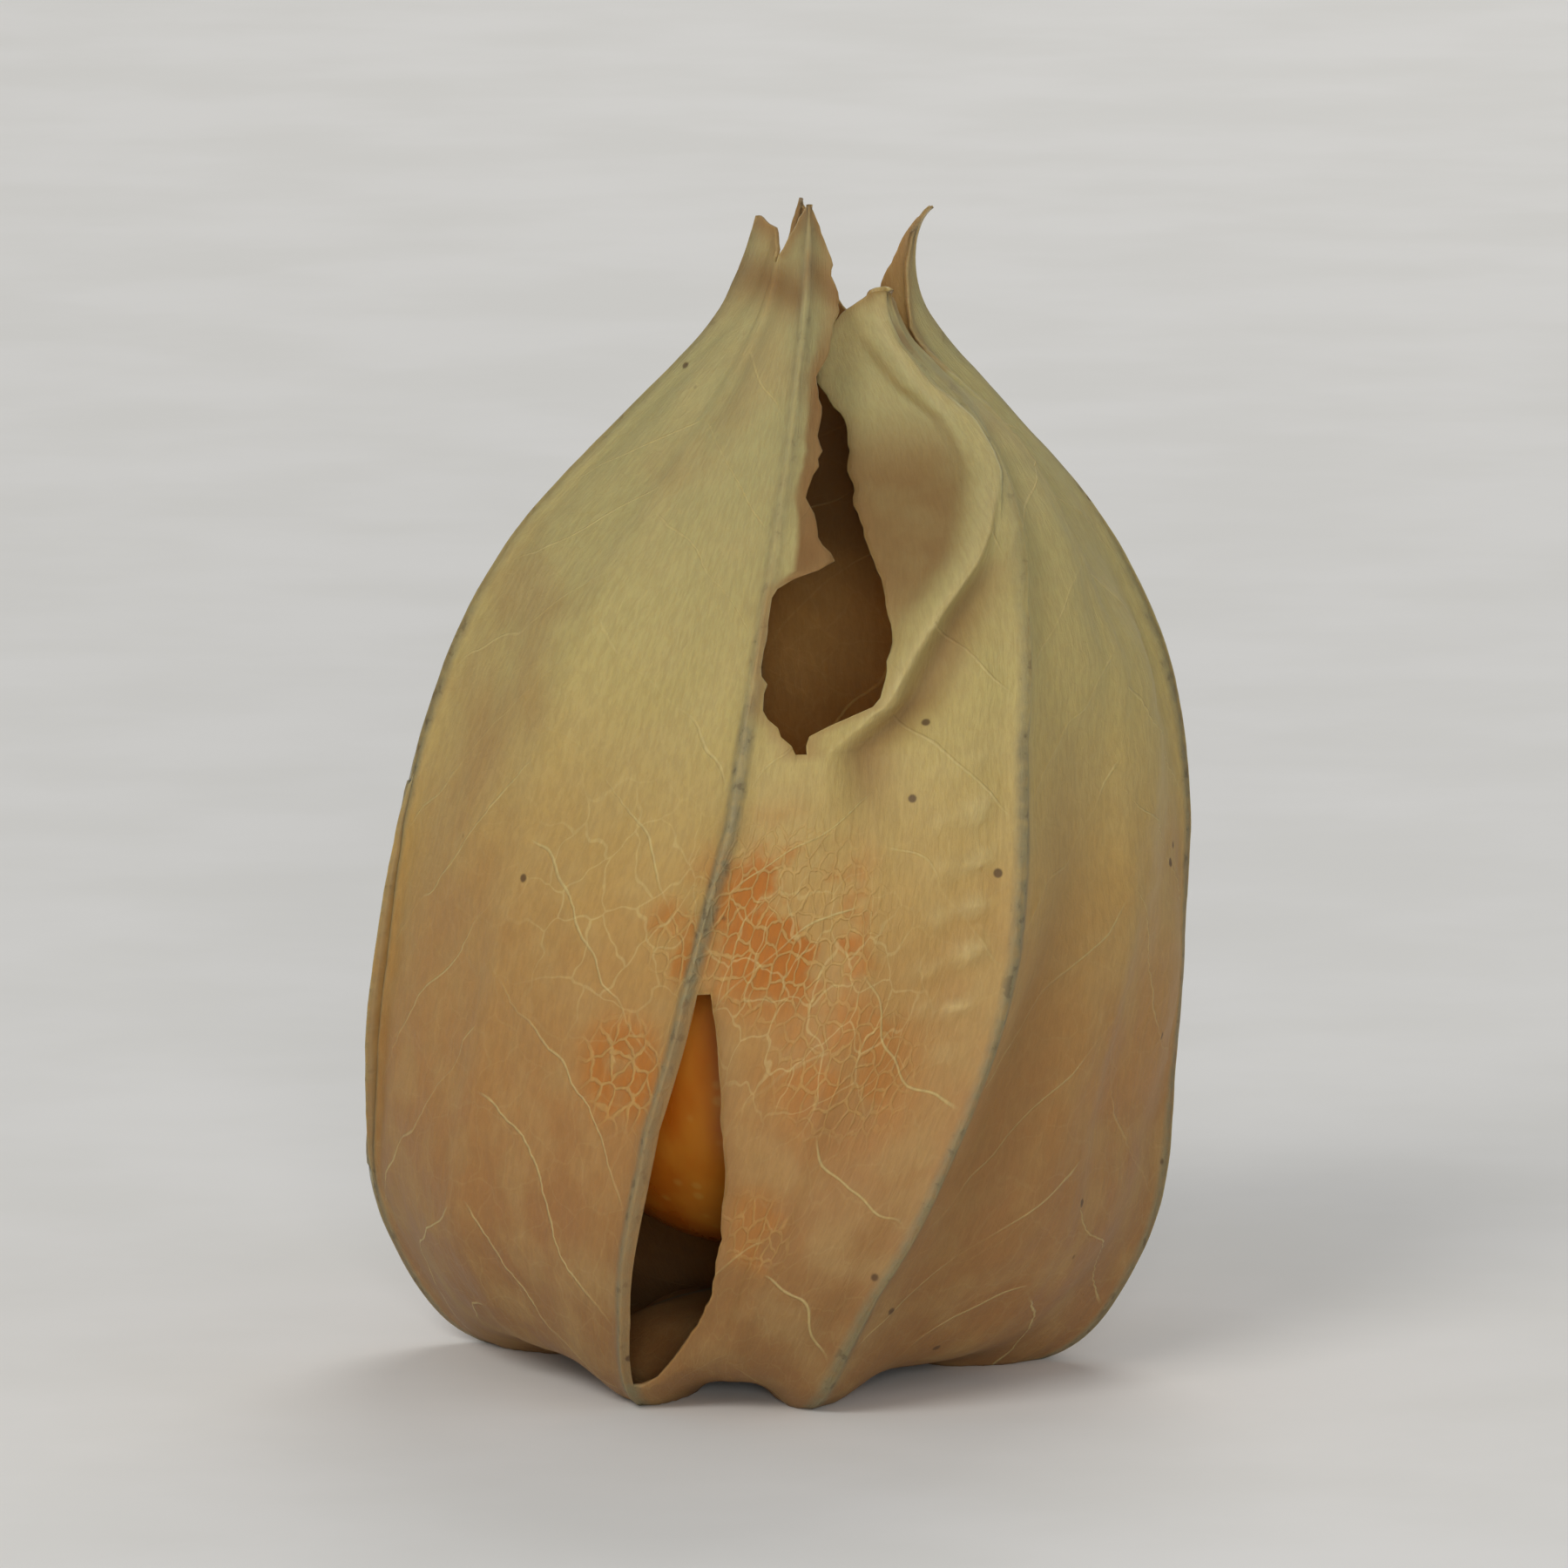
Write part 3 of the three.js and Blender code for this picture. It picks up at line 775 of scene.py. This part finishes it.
def blend_colour(tree, share, below, above, mode="MIX"):
    made = tree.nodes.new("ShaderNodeMix")
    made.data_type = "RGBA"
    made.blend_type = mode
    for socket, value in ((made.inputs[0], share), (made.inputs[6], below), (made.inputs[7], above)):
        if isinstance(value, bpy.types.NodeSocket):
            tree.links.new(value, socket)
        else:
            socket.default_value = value
    return made.outputs[2]


def remap(tree, value, from_low, from_high, to_low=0.0, to_high=1.0):
    made = add_node(tree, "ShaderNodeMapRange", interpolation_type="SMOOTHSTEP")
    for key, number in zip((1, 2, 3, 4), (from_low, from_high, to_low, to_high)):
        made.inputs[key].default_value = number
    tree.links.new(value, made.inputs[0])
    return made.outputs[0]


def calculate(tree, operation, *values):
    made = add_node(tree, "ShaderNodeMath", operation=operation)
    for k, value in enumerate(values):
        if isinstance(value, bpy.types.NodeSocket):
            tree.links.new(value, made.inputs[k])
        else:
            made.inputs[k].default_value = value
    return made.outputs[0]


def remembered(tree, name):
    """What the vertices remember under a name."""
    return add_node(tree, "ShaderNodeAttribute", attribute_name=name).outputs["Fac"]


def noise_pattern(tree, coordinates, scale, detail):
    inputs = {"Vector": coordinates, "Scale": scale, "Detail": detail}
    return add_node(tree, "ShaderNodeTexNoise", inputs).outputs[0]


print("a straw colour in linear light:", [round(c, 3) for c in linear(190, 172, 120)[:3]])


# %% Vein net of the paper
def vein_net(tree, uv, cell_mm, line, warp):
    """0 to 1: on the lines between irregular cells of about cell_mm."""
    in_cells = {"Vector": uv, "Scale": (SHEET_GIRTH / cell_mm, SHEET_LENGTH / cell_mm, 1)}
    scaled = add_node(tree, "ShaderNodeMapping", in_cells).outputs[0]
    wander = add_node(tree, "ShaderNodeTexNoise", {"Vector": scaled, "Scale": 0.9, "Detail": 2.0})
    shift = {0: wander.outputs["Color"], 1: (warp, warp, 0)}
    moved = add_node(tree, "ShaderNodeVectorMath", shift, operation="MULTIPLY")
    place = add_node(tree, "ShaderNodeVectorMath", {0: scaled, 1: moved.outputs[0]}, operation="ADD")
    cells = add_node(
        tree,
        "ShaderNodeTexVoronoi",
        {"Vector": place.outputs[0], "Scale": 1.0, "Randomness": 0.9},
        voronoi_dimensions="2D",
        feature="DISTANCE_TO_EDGE",
    )
    return remap(tree, cells.outputs["Distance"], line * 0.35, line, 1.0, 0.0)


def dark_specks(tree, coordinates, spacing, size):
    """0 to 1: inside specks of mixed sizes, where the paper cuts through small balls."""
    balls = add_node(tree, "ShaderNodeTexVoronoi", {"Vector": coordinates, "Scale": 1 / spacing})
    return remap(tree, balls.outputs["Distance"], 0.6 * size / spacing, size / spacing, 1.0, 0.0)


print("helpers for veins and specks are ready")


# %% Soft round masks
def nearness(tree, coordinates, centre, near, far):
    """1 within near of a centre, falling to 0 at far, in metres."""
    away = add_node(
        tree, "ShaderNodeVectorMath", {0: coordinates, 1: tuple(centre)}, operation="DISTANCE"
    ).outputs["Value"]
    return remap(tree, away, near, far, 1.0, 0.0)


def place_on_paper(panel, t, s):
    return tuple(v * MM for v in panel_point(panel, t, s))


WORN_PLACES = [
    (place_on_paper(1, 0.26, 0.54), 5.6, 1.0),
    (place_on_paper(0, 0.88, 0.45), 3.2, 0.85),
    (place_on_paper(0, 0.94, 0.53), 2.6, 0.8),
    (place_on_paper(1, 0.53, 0.46), 4.6, 0.6),
    (place_on_paper(1, 0.42, 0.36), 2.6, 0.5),
]
HAIRY_PLACES = [(place_on_paper(0, 0.75, 0.55), 7.0, 0.6), (place_on_paper(1, 0.35, 0.5), 7.0, 0.7)]
print("thin, worn paper round", [round(v / MM, 1) for v in WORN_PLACES[0][0]], "mm")


def round_masks(tree, coordinates, places):
    """0 to 1 near any of the places, each with its reach in mm and its strength."""
    total = None
    for centre, reach, strength in places:
        mask = nearness(tree, coordinates, centre, 0.35 * reach * MM, reach * MM)
        mask = calculate(tree, "MULTIPLY", mask, strength)
        total = mask if total is None else calculate(tree, "MAXIMUM", total, mask)
    return total


# %% Colours of the paper
# Straw up the husk: the darkest tone at the foot is partly the paper's own tan and partly painted shade
# near the floor.
STRAW_AND_FOOT_SHADE_AT_HEIGHTS = (
    (0.0, (132, 98, 58)),
    (0.16, (160, 120, 68)),
    (0.42, (178, 148, 86)),
    (0.66, (180, 162, 102)),
    (1.0, (164, 156, 108)),
)
PAPER_COLOURS = {
    "stain": (146, 102, 58),
    "pale cloud": (180, 160, 108),
    # Painted orange glow of the berry, shining through the paper near it.
    "painted glow of the berry": (172, 112, 56),
    "inner side": (150, 116, 66),
    "worn": (172, 102, 24),
    "fine net": (184, 148, 86),
    "coarse net": (196, 172, 114),
    "hair vein": (196, 176, 118),
    # Painted highlight on the tops of the blisters.
    "painted highlight on blisters": (194, 176, 124),
    # Dried brown of the tips, also used as painted shade in hollows, beside the fold and in a crumple.
    "dried brown and painted shade": (124, 88, 46),
    "rib": (124, 116, 86),
    "dots of a rib": (78, 62, 42),
    "torn edge": (142, 106, 62),
    # Painted highlight along the fold's crease.
    "fold": (186, 168, 116),
    "speck": (70, 46, 26),
    # Painted shade on the inner side, near the foot and near the tip.
    "painted shade inside the foot": (58, 40, 26),
    "painted shade inside the tip": (52, 42, 32),
    "fibre": (112, 86, 48),
}


def tint(tree, colour, name, share, strength=None):
    """Lays a colour of the paper over the one that is there, by a share that strength may lower."""
    if strength is not None:
        share = calculate(tree, "MULTIPLY", share, strength)
    return blend_colour(tree, share, colour, linear(*PAPER_COLOURS[name]))


print(len(PAPER_COLOURS), "colours lie over the straw of the paper")


# %% Ground colour, fibres, the inner side and hair veins
def paper_ground(tree, coordinates, height, clouds):
    """Straw that changes with the height, darker at the foot partly as painted shade, with stains and
    pale clouds.
    """
    tones = add_node(tree, "ShaderNodeValToRGB", {"Fac": remap(tree, height, 0.0, HUSK_HEIGHT * MM)})
    ramp = tones.color_ramp
    for k, (place, colour) in enumerate(STRAW_AND_FOOT_SHADE_AT_HEIGHTS):
        element = ramp.elements[k] if k < 2 else ramp.elements.new(place)
        element.position = place
        element.color = linear(*colour)
    patches = noise_pattern(tree, coordinates, 130.0, 4.0)
    stained = tint(tree, tones.outputs[0], "stain", remap(tree, patches, 0.5, 0.75, 0, 0.4))
    return tint(tree, stained, "pale cloud", remap(tree, clouds, 0.4, 0.7, 0, 0.3))


def paper_fibres(tree, uv):
    """Fine fibres that run along the lantern, drawn in millimetres on the sheet's UV map."""
    stretched = (SHEET_GIRTH, 0.35 * SHEET_LENGTH, 1)
    along_sheet = add_node(tree, "ShaderNodeMapping", {"Vector": uv, "Scale": stretched})
    return add_node(
        tree,
        "ShaderNodeTexNoise",
        {"Vector": along_sheet.outputs[0], "Scale": 3.2, "Detail": 4.0, "Roughness": 0.7},
        noise_dimensions="2D",
    ).outputs[0]


def inner_side(tree, coordinates):
    """1 on the side of the paper that faces the middle of the lantern."""
    level = add_node(
        tree, "ShaderNodeVectorMath", {0: coordinates, 1: (1000, 1000, 0)}, operation="MULTIPLY"
    ).outputs[0]
    normal = add_node(tree, "ShaderNodeTexCoord").outputs["Normal"]
    facing = add_node(tree, "ShaderNodeVectorMath", {0: normal, 1: level}, operation="DOT_PRODUCT")
    return remap(tree, facing.outputs["Value"], -3.0, 1.0, 1.0, 0.0)


def hair_veins(tree, coordinates):
    """0 to 1: on hair-fine side veins, which show only here and there."""
    zigzag = calculate(tree, "PINGPONG", remembered(tree, "phase"), 0.5)
    away = calculate(tree, "MULTIPLY", zigzag, VEIN_SPACING)
    shown = remap(tree, noise_pattern(tree, coordinates, 160.0, 1.0), 0.4, 0.6, 0.15, 1.0)
    line = remap(tree, away, 0.02, 0.1, 1.0, 0.0)
    return calculate(tree, "MULTIPLY", line, calculate(tree, "MULTIPLY", shown, remembered(tree, "hair")))


print("ground colours:", len(STRAW_AND_FOOT_SHADE_AT_HEIGHTS), "heights")


# %% Patterns of the paper
FINE_NET_MM = 0.85
COARSE_NET_MM = 2.0
# Reach of the painted orange glow of the berry through the paper.
GLOW_REACH = (0.0125, 0.0215)  # from the middle of the berry, m
SPECK_SPACING = 0.0038
SPECK_SIZE = 0.00024


def paper_patterns(tree, uv, coordinates):
    """The patterns that both the colour and the relief of the paper use, by name."""
    found = {name: remembered(tree, name) for name in ("rib", "torn", "fold", "brown_and_shade", "blister_highlight")}
    found["clouds"] = noise_pattern(tree, coordinates, 420.0, 5.0)
    found["grain"] = noise_pattern(tree, coordinates, 1700.0, 3.0)
    found["fibres"] = paper_fibres(tree, uv)
    found["height"] = add_node(tree, "ShaderNodeSeparateXYZ", {0: coordinates}).outputs["Z"]
    found["inside"] = inner_side(tree, coordinates)
    found["worn"] = round_masks(tree, coordinates, WORN_PLACES)
    found["hairs"] = hair_veins(tree, coordinates)
    fine = vein_net(tree, uv, FINE_NET_MM, 0.12, 0.9)
    coarse = vein_net(tree, uv, COARSE_NET_MM, 0.036, 1.1)
    hairy = round_masks(tree, coordinates, HAIRY_PLACES)
    fine_strength = remap(tree, found["worn"], 0.0, 1.0, 0.05, 0.75)
    coarse_strength = remap(tree, hairy, 0.0, 0.7, 0.08, 0.5)
    found["fine net"] = calculate(tree, "MULTIPLY", fine, fine_strength)
    found["coarse net"] = calculate(tree, "MULTIPLY", coarse, coarse_strength)
    return found


print(f"the veins' net has meshes of {FINE_NET_MM} and {COARSE_NET_MM} mm")


# %% Colour of the paper, laid on in thin coats
def worn_and_veined(tree, coordinates, found):
    """The ground, the berry's painted orange glow through the paper, the inner side, the worn places and
    the veins.
    """
    clouds, inside = found["clouds"], found["inside"]
    colour = paper_ground(tree, coordinates, found["height"], clouds)
    # Painted glow: the paper near the berry is tinted orange, as if lit through from behind.
    glow = nearness(tree, coordinates, BERRY_CENTRE, *GLOW_REACH)
    colour = tint(tree, colour, "painted glow of the berry", glow, 0.3)
    colour = tint(tree, colour, "inner side", inside, 0.75)
    thin = calculate(tree, "MULTIPLY", found["worn"], remap(tree, clouds, 0.4, 0.56, 0.1, 1.0))
    colour = tint(tree, colour, "worn", thin, 0.95)
    colour = tint(tree, colour, "fine net", found["fine net"])
    colour = tint(tree, colour, "coarse net", found["coarse net"])
    return tint(tree, colour, "hair vein", found["hairs"], remap(tree, inside, 0.0, 1.0, 0.65, 0.9))


def marked(tree, colour, found):
    """Painted highlights on the blisters and the fold, dried brown with painted shade, the ribs and torn
    edges.
    """
    ribs, grain = found["rib"], found["grain"]
    # Painted highlight on the tops of the blisters.
    colour = tint(tree, colour, "painted highlight on blisters", found["blister_highlight"], 0.5)
    # Dried brown at the tips, and painted shade in the hollows, beside the fold and in a crumple.
    brown_and_shade_strength = remap(tree, found["clouds"], 0.3, 0.6, 0.78, 0.95)
    colour = tint(tree, colour, "dried brown and painted shade", found["brown_and_shade"], brown_and_shade_strength)
    colour = tint(tree, colour, "rib", ribs, remap(tree, grain, 0.3, 0.6, 0.6, 0.95))
    colour = tint(tree, colour, "dots of a rib", ribs, remap(tree, grain, 0.6, 0.68, 0.0, 0.55))
    colour = tint(tree, colour, "torn edge", found["torn"], 0.5)
    # Painted highlight along the fold's crease.
    return tint(tree, colour, "fold", found["fold"], 0.7)


def shaded(tree, colour, coordinates, found):
    """Specks, painted shade on the inner side at the lantern's foot and tip, and fibres."""
    height, inside = found["height"], found["inside"]
    colour = tint(tree, colour, "speck", dark_specks(tree, coordinates, SPECK_SPACING, SPECK_SIZE), 0.8)
    # Painted shade on the inner side near the foot.
    colour = tint(tree, colour, "painted shade inside the foot", inside, remap(tree, height, 0.003, 0.013, 0.75, 0.0))
    # Painted shade on the inner side near the tip.
    deep = calculate(tree, "MULTIPLY", inside, remap(tree, height, 0.0285, 0.0335, 0.0, 0.6))
    colour = tint(tree, colour, "painted shade inside the tip", deep, remap(tree, height, 0.037, 0.041, 1.0, 0.0))
    return tint(tree, colour, "fibre", remap(tree, found["fibres"], 0.35, 0.65, 0.0, 0.16))


print("the colour has", len(PAPER_COLOURS) + 1, "coats")


# %% The paper
def paper_relief(tree, found):
    """Height of the finest relief: the net, hair veins, clouds, fibres and the grain of the ribs."""
    relief = found["fine net"]
    rough_ribs = calculate(tree, "MULTIPLY", found["grain"], found["rib"])
    parts = ((found["hairs"], 0.6), (found["clouds"], 0.5), (found["fibres"], 0.45), (rough_ribs, 1.2))
    for part, strength in parts:
        relief = calculate(tree, "ADD", relief, calculate(tree, "MULTIPLY", part, strength))
    return relief


def husk_paper():
    material, tree, shader = new_material("husk_paper")
    uv = add_node(tree, "ShaderNodeUVMap", uv_map="paper").outputs[0]
    coordinates = add_node(tree, "ShaderNodeTexCoord").outputs["Object"]
    found = paper_patterns(tree, uv, coordinates)
    colour = worn_and_veined(tree, coordinates, found)
    colour = marked(tree, colour, found)
    colour = shaded(tree, colour, coordinates, found)
    tree.links.new(colour, shader.inputs["Base Color"])
    dull = remap(tree, found["clouds"], 0.3, 0.7, 0.52, 0.68)
    waxed = calculate(tree, "MULTIPLY", found["fold"], 0.32)
    tree.links.new(calculate(tree, "SUBTRACT", dull, waxed), shader.inputs["Roughness"])
    relief = paper_relief(tree, found)
    bump = add_node(tree, "ShaderNodeBump", {"Height": relief, "Strength": 0.6, "Distance": 0.00012})
    tree.links.new(bump.outputs[0], shader.inputs["Normal"])
    shader.inputs["Subsurface Weight"].default_value = 0.55
    shader.inputs["Subsurface Radius"].default_value = (1.0, 0.75, 0.45)
    shader.inputs["Subsurface Scale"].default_value = 0.0007
    shader.inputs["Specular IOR Level"].default_value = 0.3
    return material


husk.data.materials.append(husk_paper())
print("paper nodes:", len(husk.data.materials[0].node_tree.nodes))


# %% [markdown]
# A ripe berry is waxy: light goes a little way into the flesh, and the skin has a soft gloss. Paler
# flecks and faint lengthwise streaks keep it from looking like plastic.

# %% The berry's skin
BERRY_ORANGE = linear(214, 112, 24)
BERRY_AMBER = linear(232, 144, 44)
BERRY_FLECK = linear(246, 190, 96)
BERRY_SCAR = linear(96, 62, 30)


def berry_skin():
    material, tree, shader = new_material("berry_skin")
    coordinates = add_node(tree, "ShaderNodeTexCoord").outputs["Object"]
    centred = add_node(
        tree, "ShaderNodeMapping", {"Vector": coordinates, "Location": tuple(-v for v in BERRY_CENTRE)}
    ).outputs[0]
    drawn_out = {"Vector": centred, "Scale": (1.0, 1.0, 0.25)}
    streaks = noise_pattern(tree, add_node(tree, "ShaderNodeMapping", drawn_out).outputs[0], 420.0, 3.0)
    streaked = remap(tree, streaks, 0.35, 0.68)
    colour = blend_colour(tree, streaked, BERRY_ORANGE, BERRY_AMBER)
    flecks = add_node(tree, "ShaderNodeTexVoronoi", {"Vector": centred, "Scale": 900.0})
    fleck_share = remap(tree, flecks.outputs["Distance"], 0.1, 0.28, 0.35, 0.0)
    colour = blend_colour(tree, fleck_share, colour, BERRY_FLECK)
    scar_place = (BERRY_CENTRE[0], BERRY_CENTRE[1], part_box("berry")[1][2])
    scar = nearness(tree, coordinates, scar_place, 0.0004, 0.0011)
    colour = blend_colour(tree, scar, colour, BERRY_SCAR)
    tree.links.new(colour, shader.inputs["Base Color"])
    tree.links.new(remap(tree, streaks, 0.3, 0.7, 0.26, 0.38), shader.inputs["Roughness"])
    skin = {"Height": flecks.outputs["Distance"], "Strength": 0.2, "Distance": 0.00005}
    bump = add_node(tree, "ShaderNodeBump", skin)
    tree.links.new(bump.outputs[0], shader.inputs["Normal"])
    shader.inputs["Subsurface Weight"].default_value = 0.35
    shader.inputs["Subsurface Radius"].default_value = (1.0, 0.45, 0.12)
    shader.inputs["Subsurface Scale"].default_value = 0.002
    return material


berry.data.materials.append(berry_skin())
print("berry finished")


# %% The stalk's dry skin
STALK_GREEN = linear(112, 104, 66)
STALK_STRAW = linear(168, 152, 104)


def stalk_skin():
    material, tree, shader = new_material("stalk_skin")
    coordinates = add_node(tree, "ShaderNodeTexCoord").outputs["Object"]
    drawn_out = {"Vector": coordinates, "Scale": (1.0, 1.0, 0.3)}
    fibres = noise_pattern(tree, add_node(tree, "ShaderNodeMapping", drawn_out).outputs[0], 2600.0, 4.0)
    colour = blend_colour(tree, remap(tree, fibres, 0.35, 0.65), STALK_GREEN, STALK_STRAW)
    tree.links.new(colour, shader.inputs["Base Color"])
    tree.links.new(remap(tree, fibres, 0.3, 0.7, 0.65, 0.85), shader.inputs["Roughness"])
    bump = add_node(tree, "ShaderNodeBump", {"Height": fibres, "Strength": 0.5, "Distance": 0.0001})
    tree.links.new(bump.outputs[0], shader.inputs["Normal"])
    return material


stalk.data.materials.append(stalk_skin())
print("stalk finished")

# %% [markdown]
# ## Floor, light and camera
#
# The fruit stands on a plain pale floor. A soft light comes from the upper left, and one from the front
# shines into the mouth and the slit. A weak one fills the right, one behind draws a bright edge, and the
# sky is a plain pale grey. The camera looks from a little above, as a person looks at fruit on a table.


# %% Floor
def pale_floor():
    bm = bmesh.new()
    bmesh.ops.create_grid(bm, x_segments=1, y_segments=1, size=1.5)
    floor = finish_mesh("floor", bm, smooth=False)
    material, tree, shader = new_material("pale_floor")
    coordinates = add_node(tree, "ShaderNodeTexCoord").outputs["Object"]
    grain = remap(tree, noise_pattern(tree, coordinates, 60.0, 4.0), 0.3, 0.7)
    colour = blend_colour(tree, grain, linear(226, 225, 222), linear(231, 230, 228))
    tree.links.new(colour, shader.inputs["Base Color"])
    shader.inputs["Roughness"].default_value = 0.85
    floor.data.materials.append(material)
    return floor


pale_floor()
print("floor laid")


# %% Light
LIT_PLACE = Vector((0, 0, 0.02))
SKY_COLOUR = (0.86, 0.88, 0.9, 1)
SKY_STRENGTH = 0.38


def soft_light(name, place, size, power, colour):
    data = bpy.data.lights.new(name, "AREA")
    data.shape = "DISK"
    data.size = size
    data.energy = power
    data.color = colour
    lamp = bpy.data.objects.new(name, data)
    lamp.location = place
    lamp.rotation_euler = (LIT_PLACE - Vector(place)).to_track_quat("-Z", "Y").to_euler()
    bpy.context.scene.collection.objects.link(lamp)


soft_light("key", (-0.3, -0.52, 0.48), 0.3, 2.0, (1.0, 0.98, 0.94))
soft_light("front", (0.03, -0.78, 0.16), 0.16, 2.0, (1.0, 0.98, 0.95))
soft_light("fill", (0.55, -0.35, 0.3), 0.5, 0.3, (0.95, 0.97, 1.0))
soft_light("rim", (0.1, 0.6, 0.5), 0.4, 1.5, (1.0, 0.97, 0.92))
sky = bpy.data.worlds.new("sky")
sky.use_nodes = True
sky.node_tree.nodes["Background"].inputs[0].default_value = SKY_COLOUR
sky.node_tree.nodes["Background"].inputs[1].default_value = SKY_STRENGTH
bpy.context.scene.world = sky
bpy.context.scene.view_settings.view_transform = "Standard"
print("four lights and a sky")

# %% Camera
CAMERA_DISTANCE = 0.85
CAMERA_ELEVATION = 9
FRAME_HEIGHT = 0.064
SENSOR = 36
MIDDLE = Vector((0, 0, 0.0238))
camera_data = bpy.data.cameras.new("camera")
camera_data.sensor_width = SENSOR
camera_data.lens = SENSOR * CAMERA_DISTANCE / FRAME_HEIGHT
camera_data.clip_end = 10
camera = bpy.data.objects.new("camera", camera_data)
elevation = math.radians(CAMERA_ELEVATION)
camera.location = MIDDLE + Vector((0, -math.cos(elevation), math.sin(elevation))) * CAMERA_DISTANCE
camera.rotation_euler = (math.pi / 2 - elevation, 0, 0)
bpy.context.scene.collection.objects.link(camera)
bpy.context.scene.camera = camera
print(f"camera {CAMERA_DISTANCE} m away, {CAMERA_ELEVATION} degrees above the table")

# %% [markdown]
# Last, the scene is brought up to date. The finished model has to stay within the box of the solids,
# give or take a few hundredths of its size.

# %% The end
bpy.context.view_layer.update()
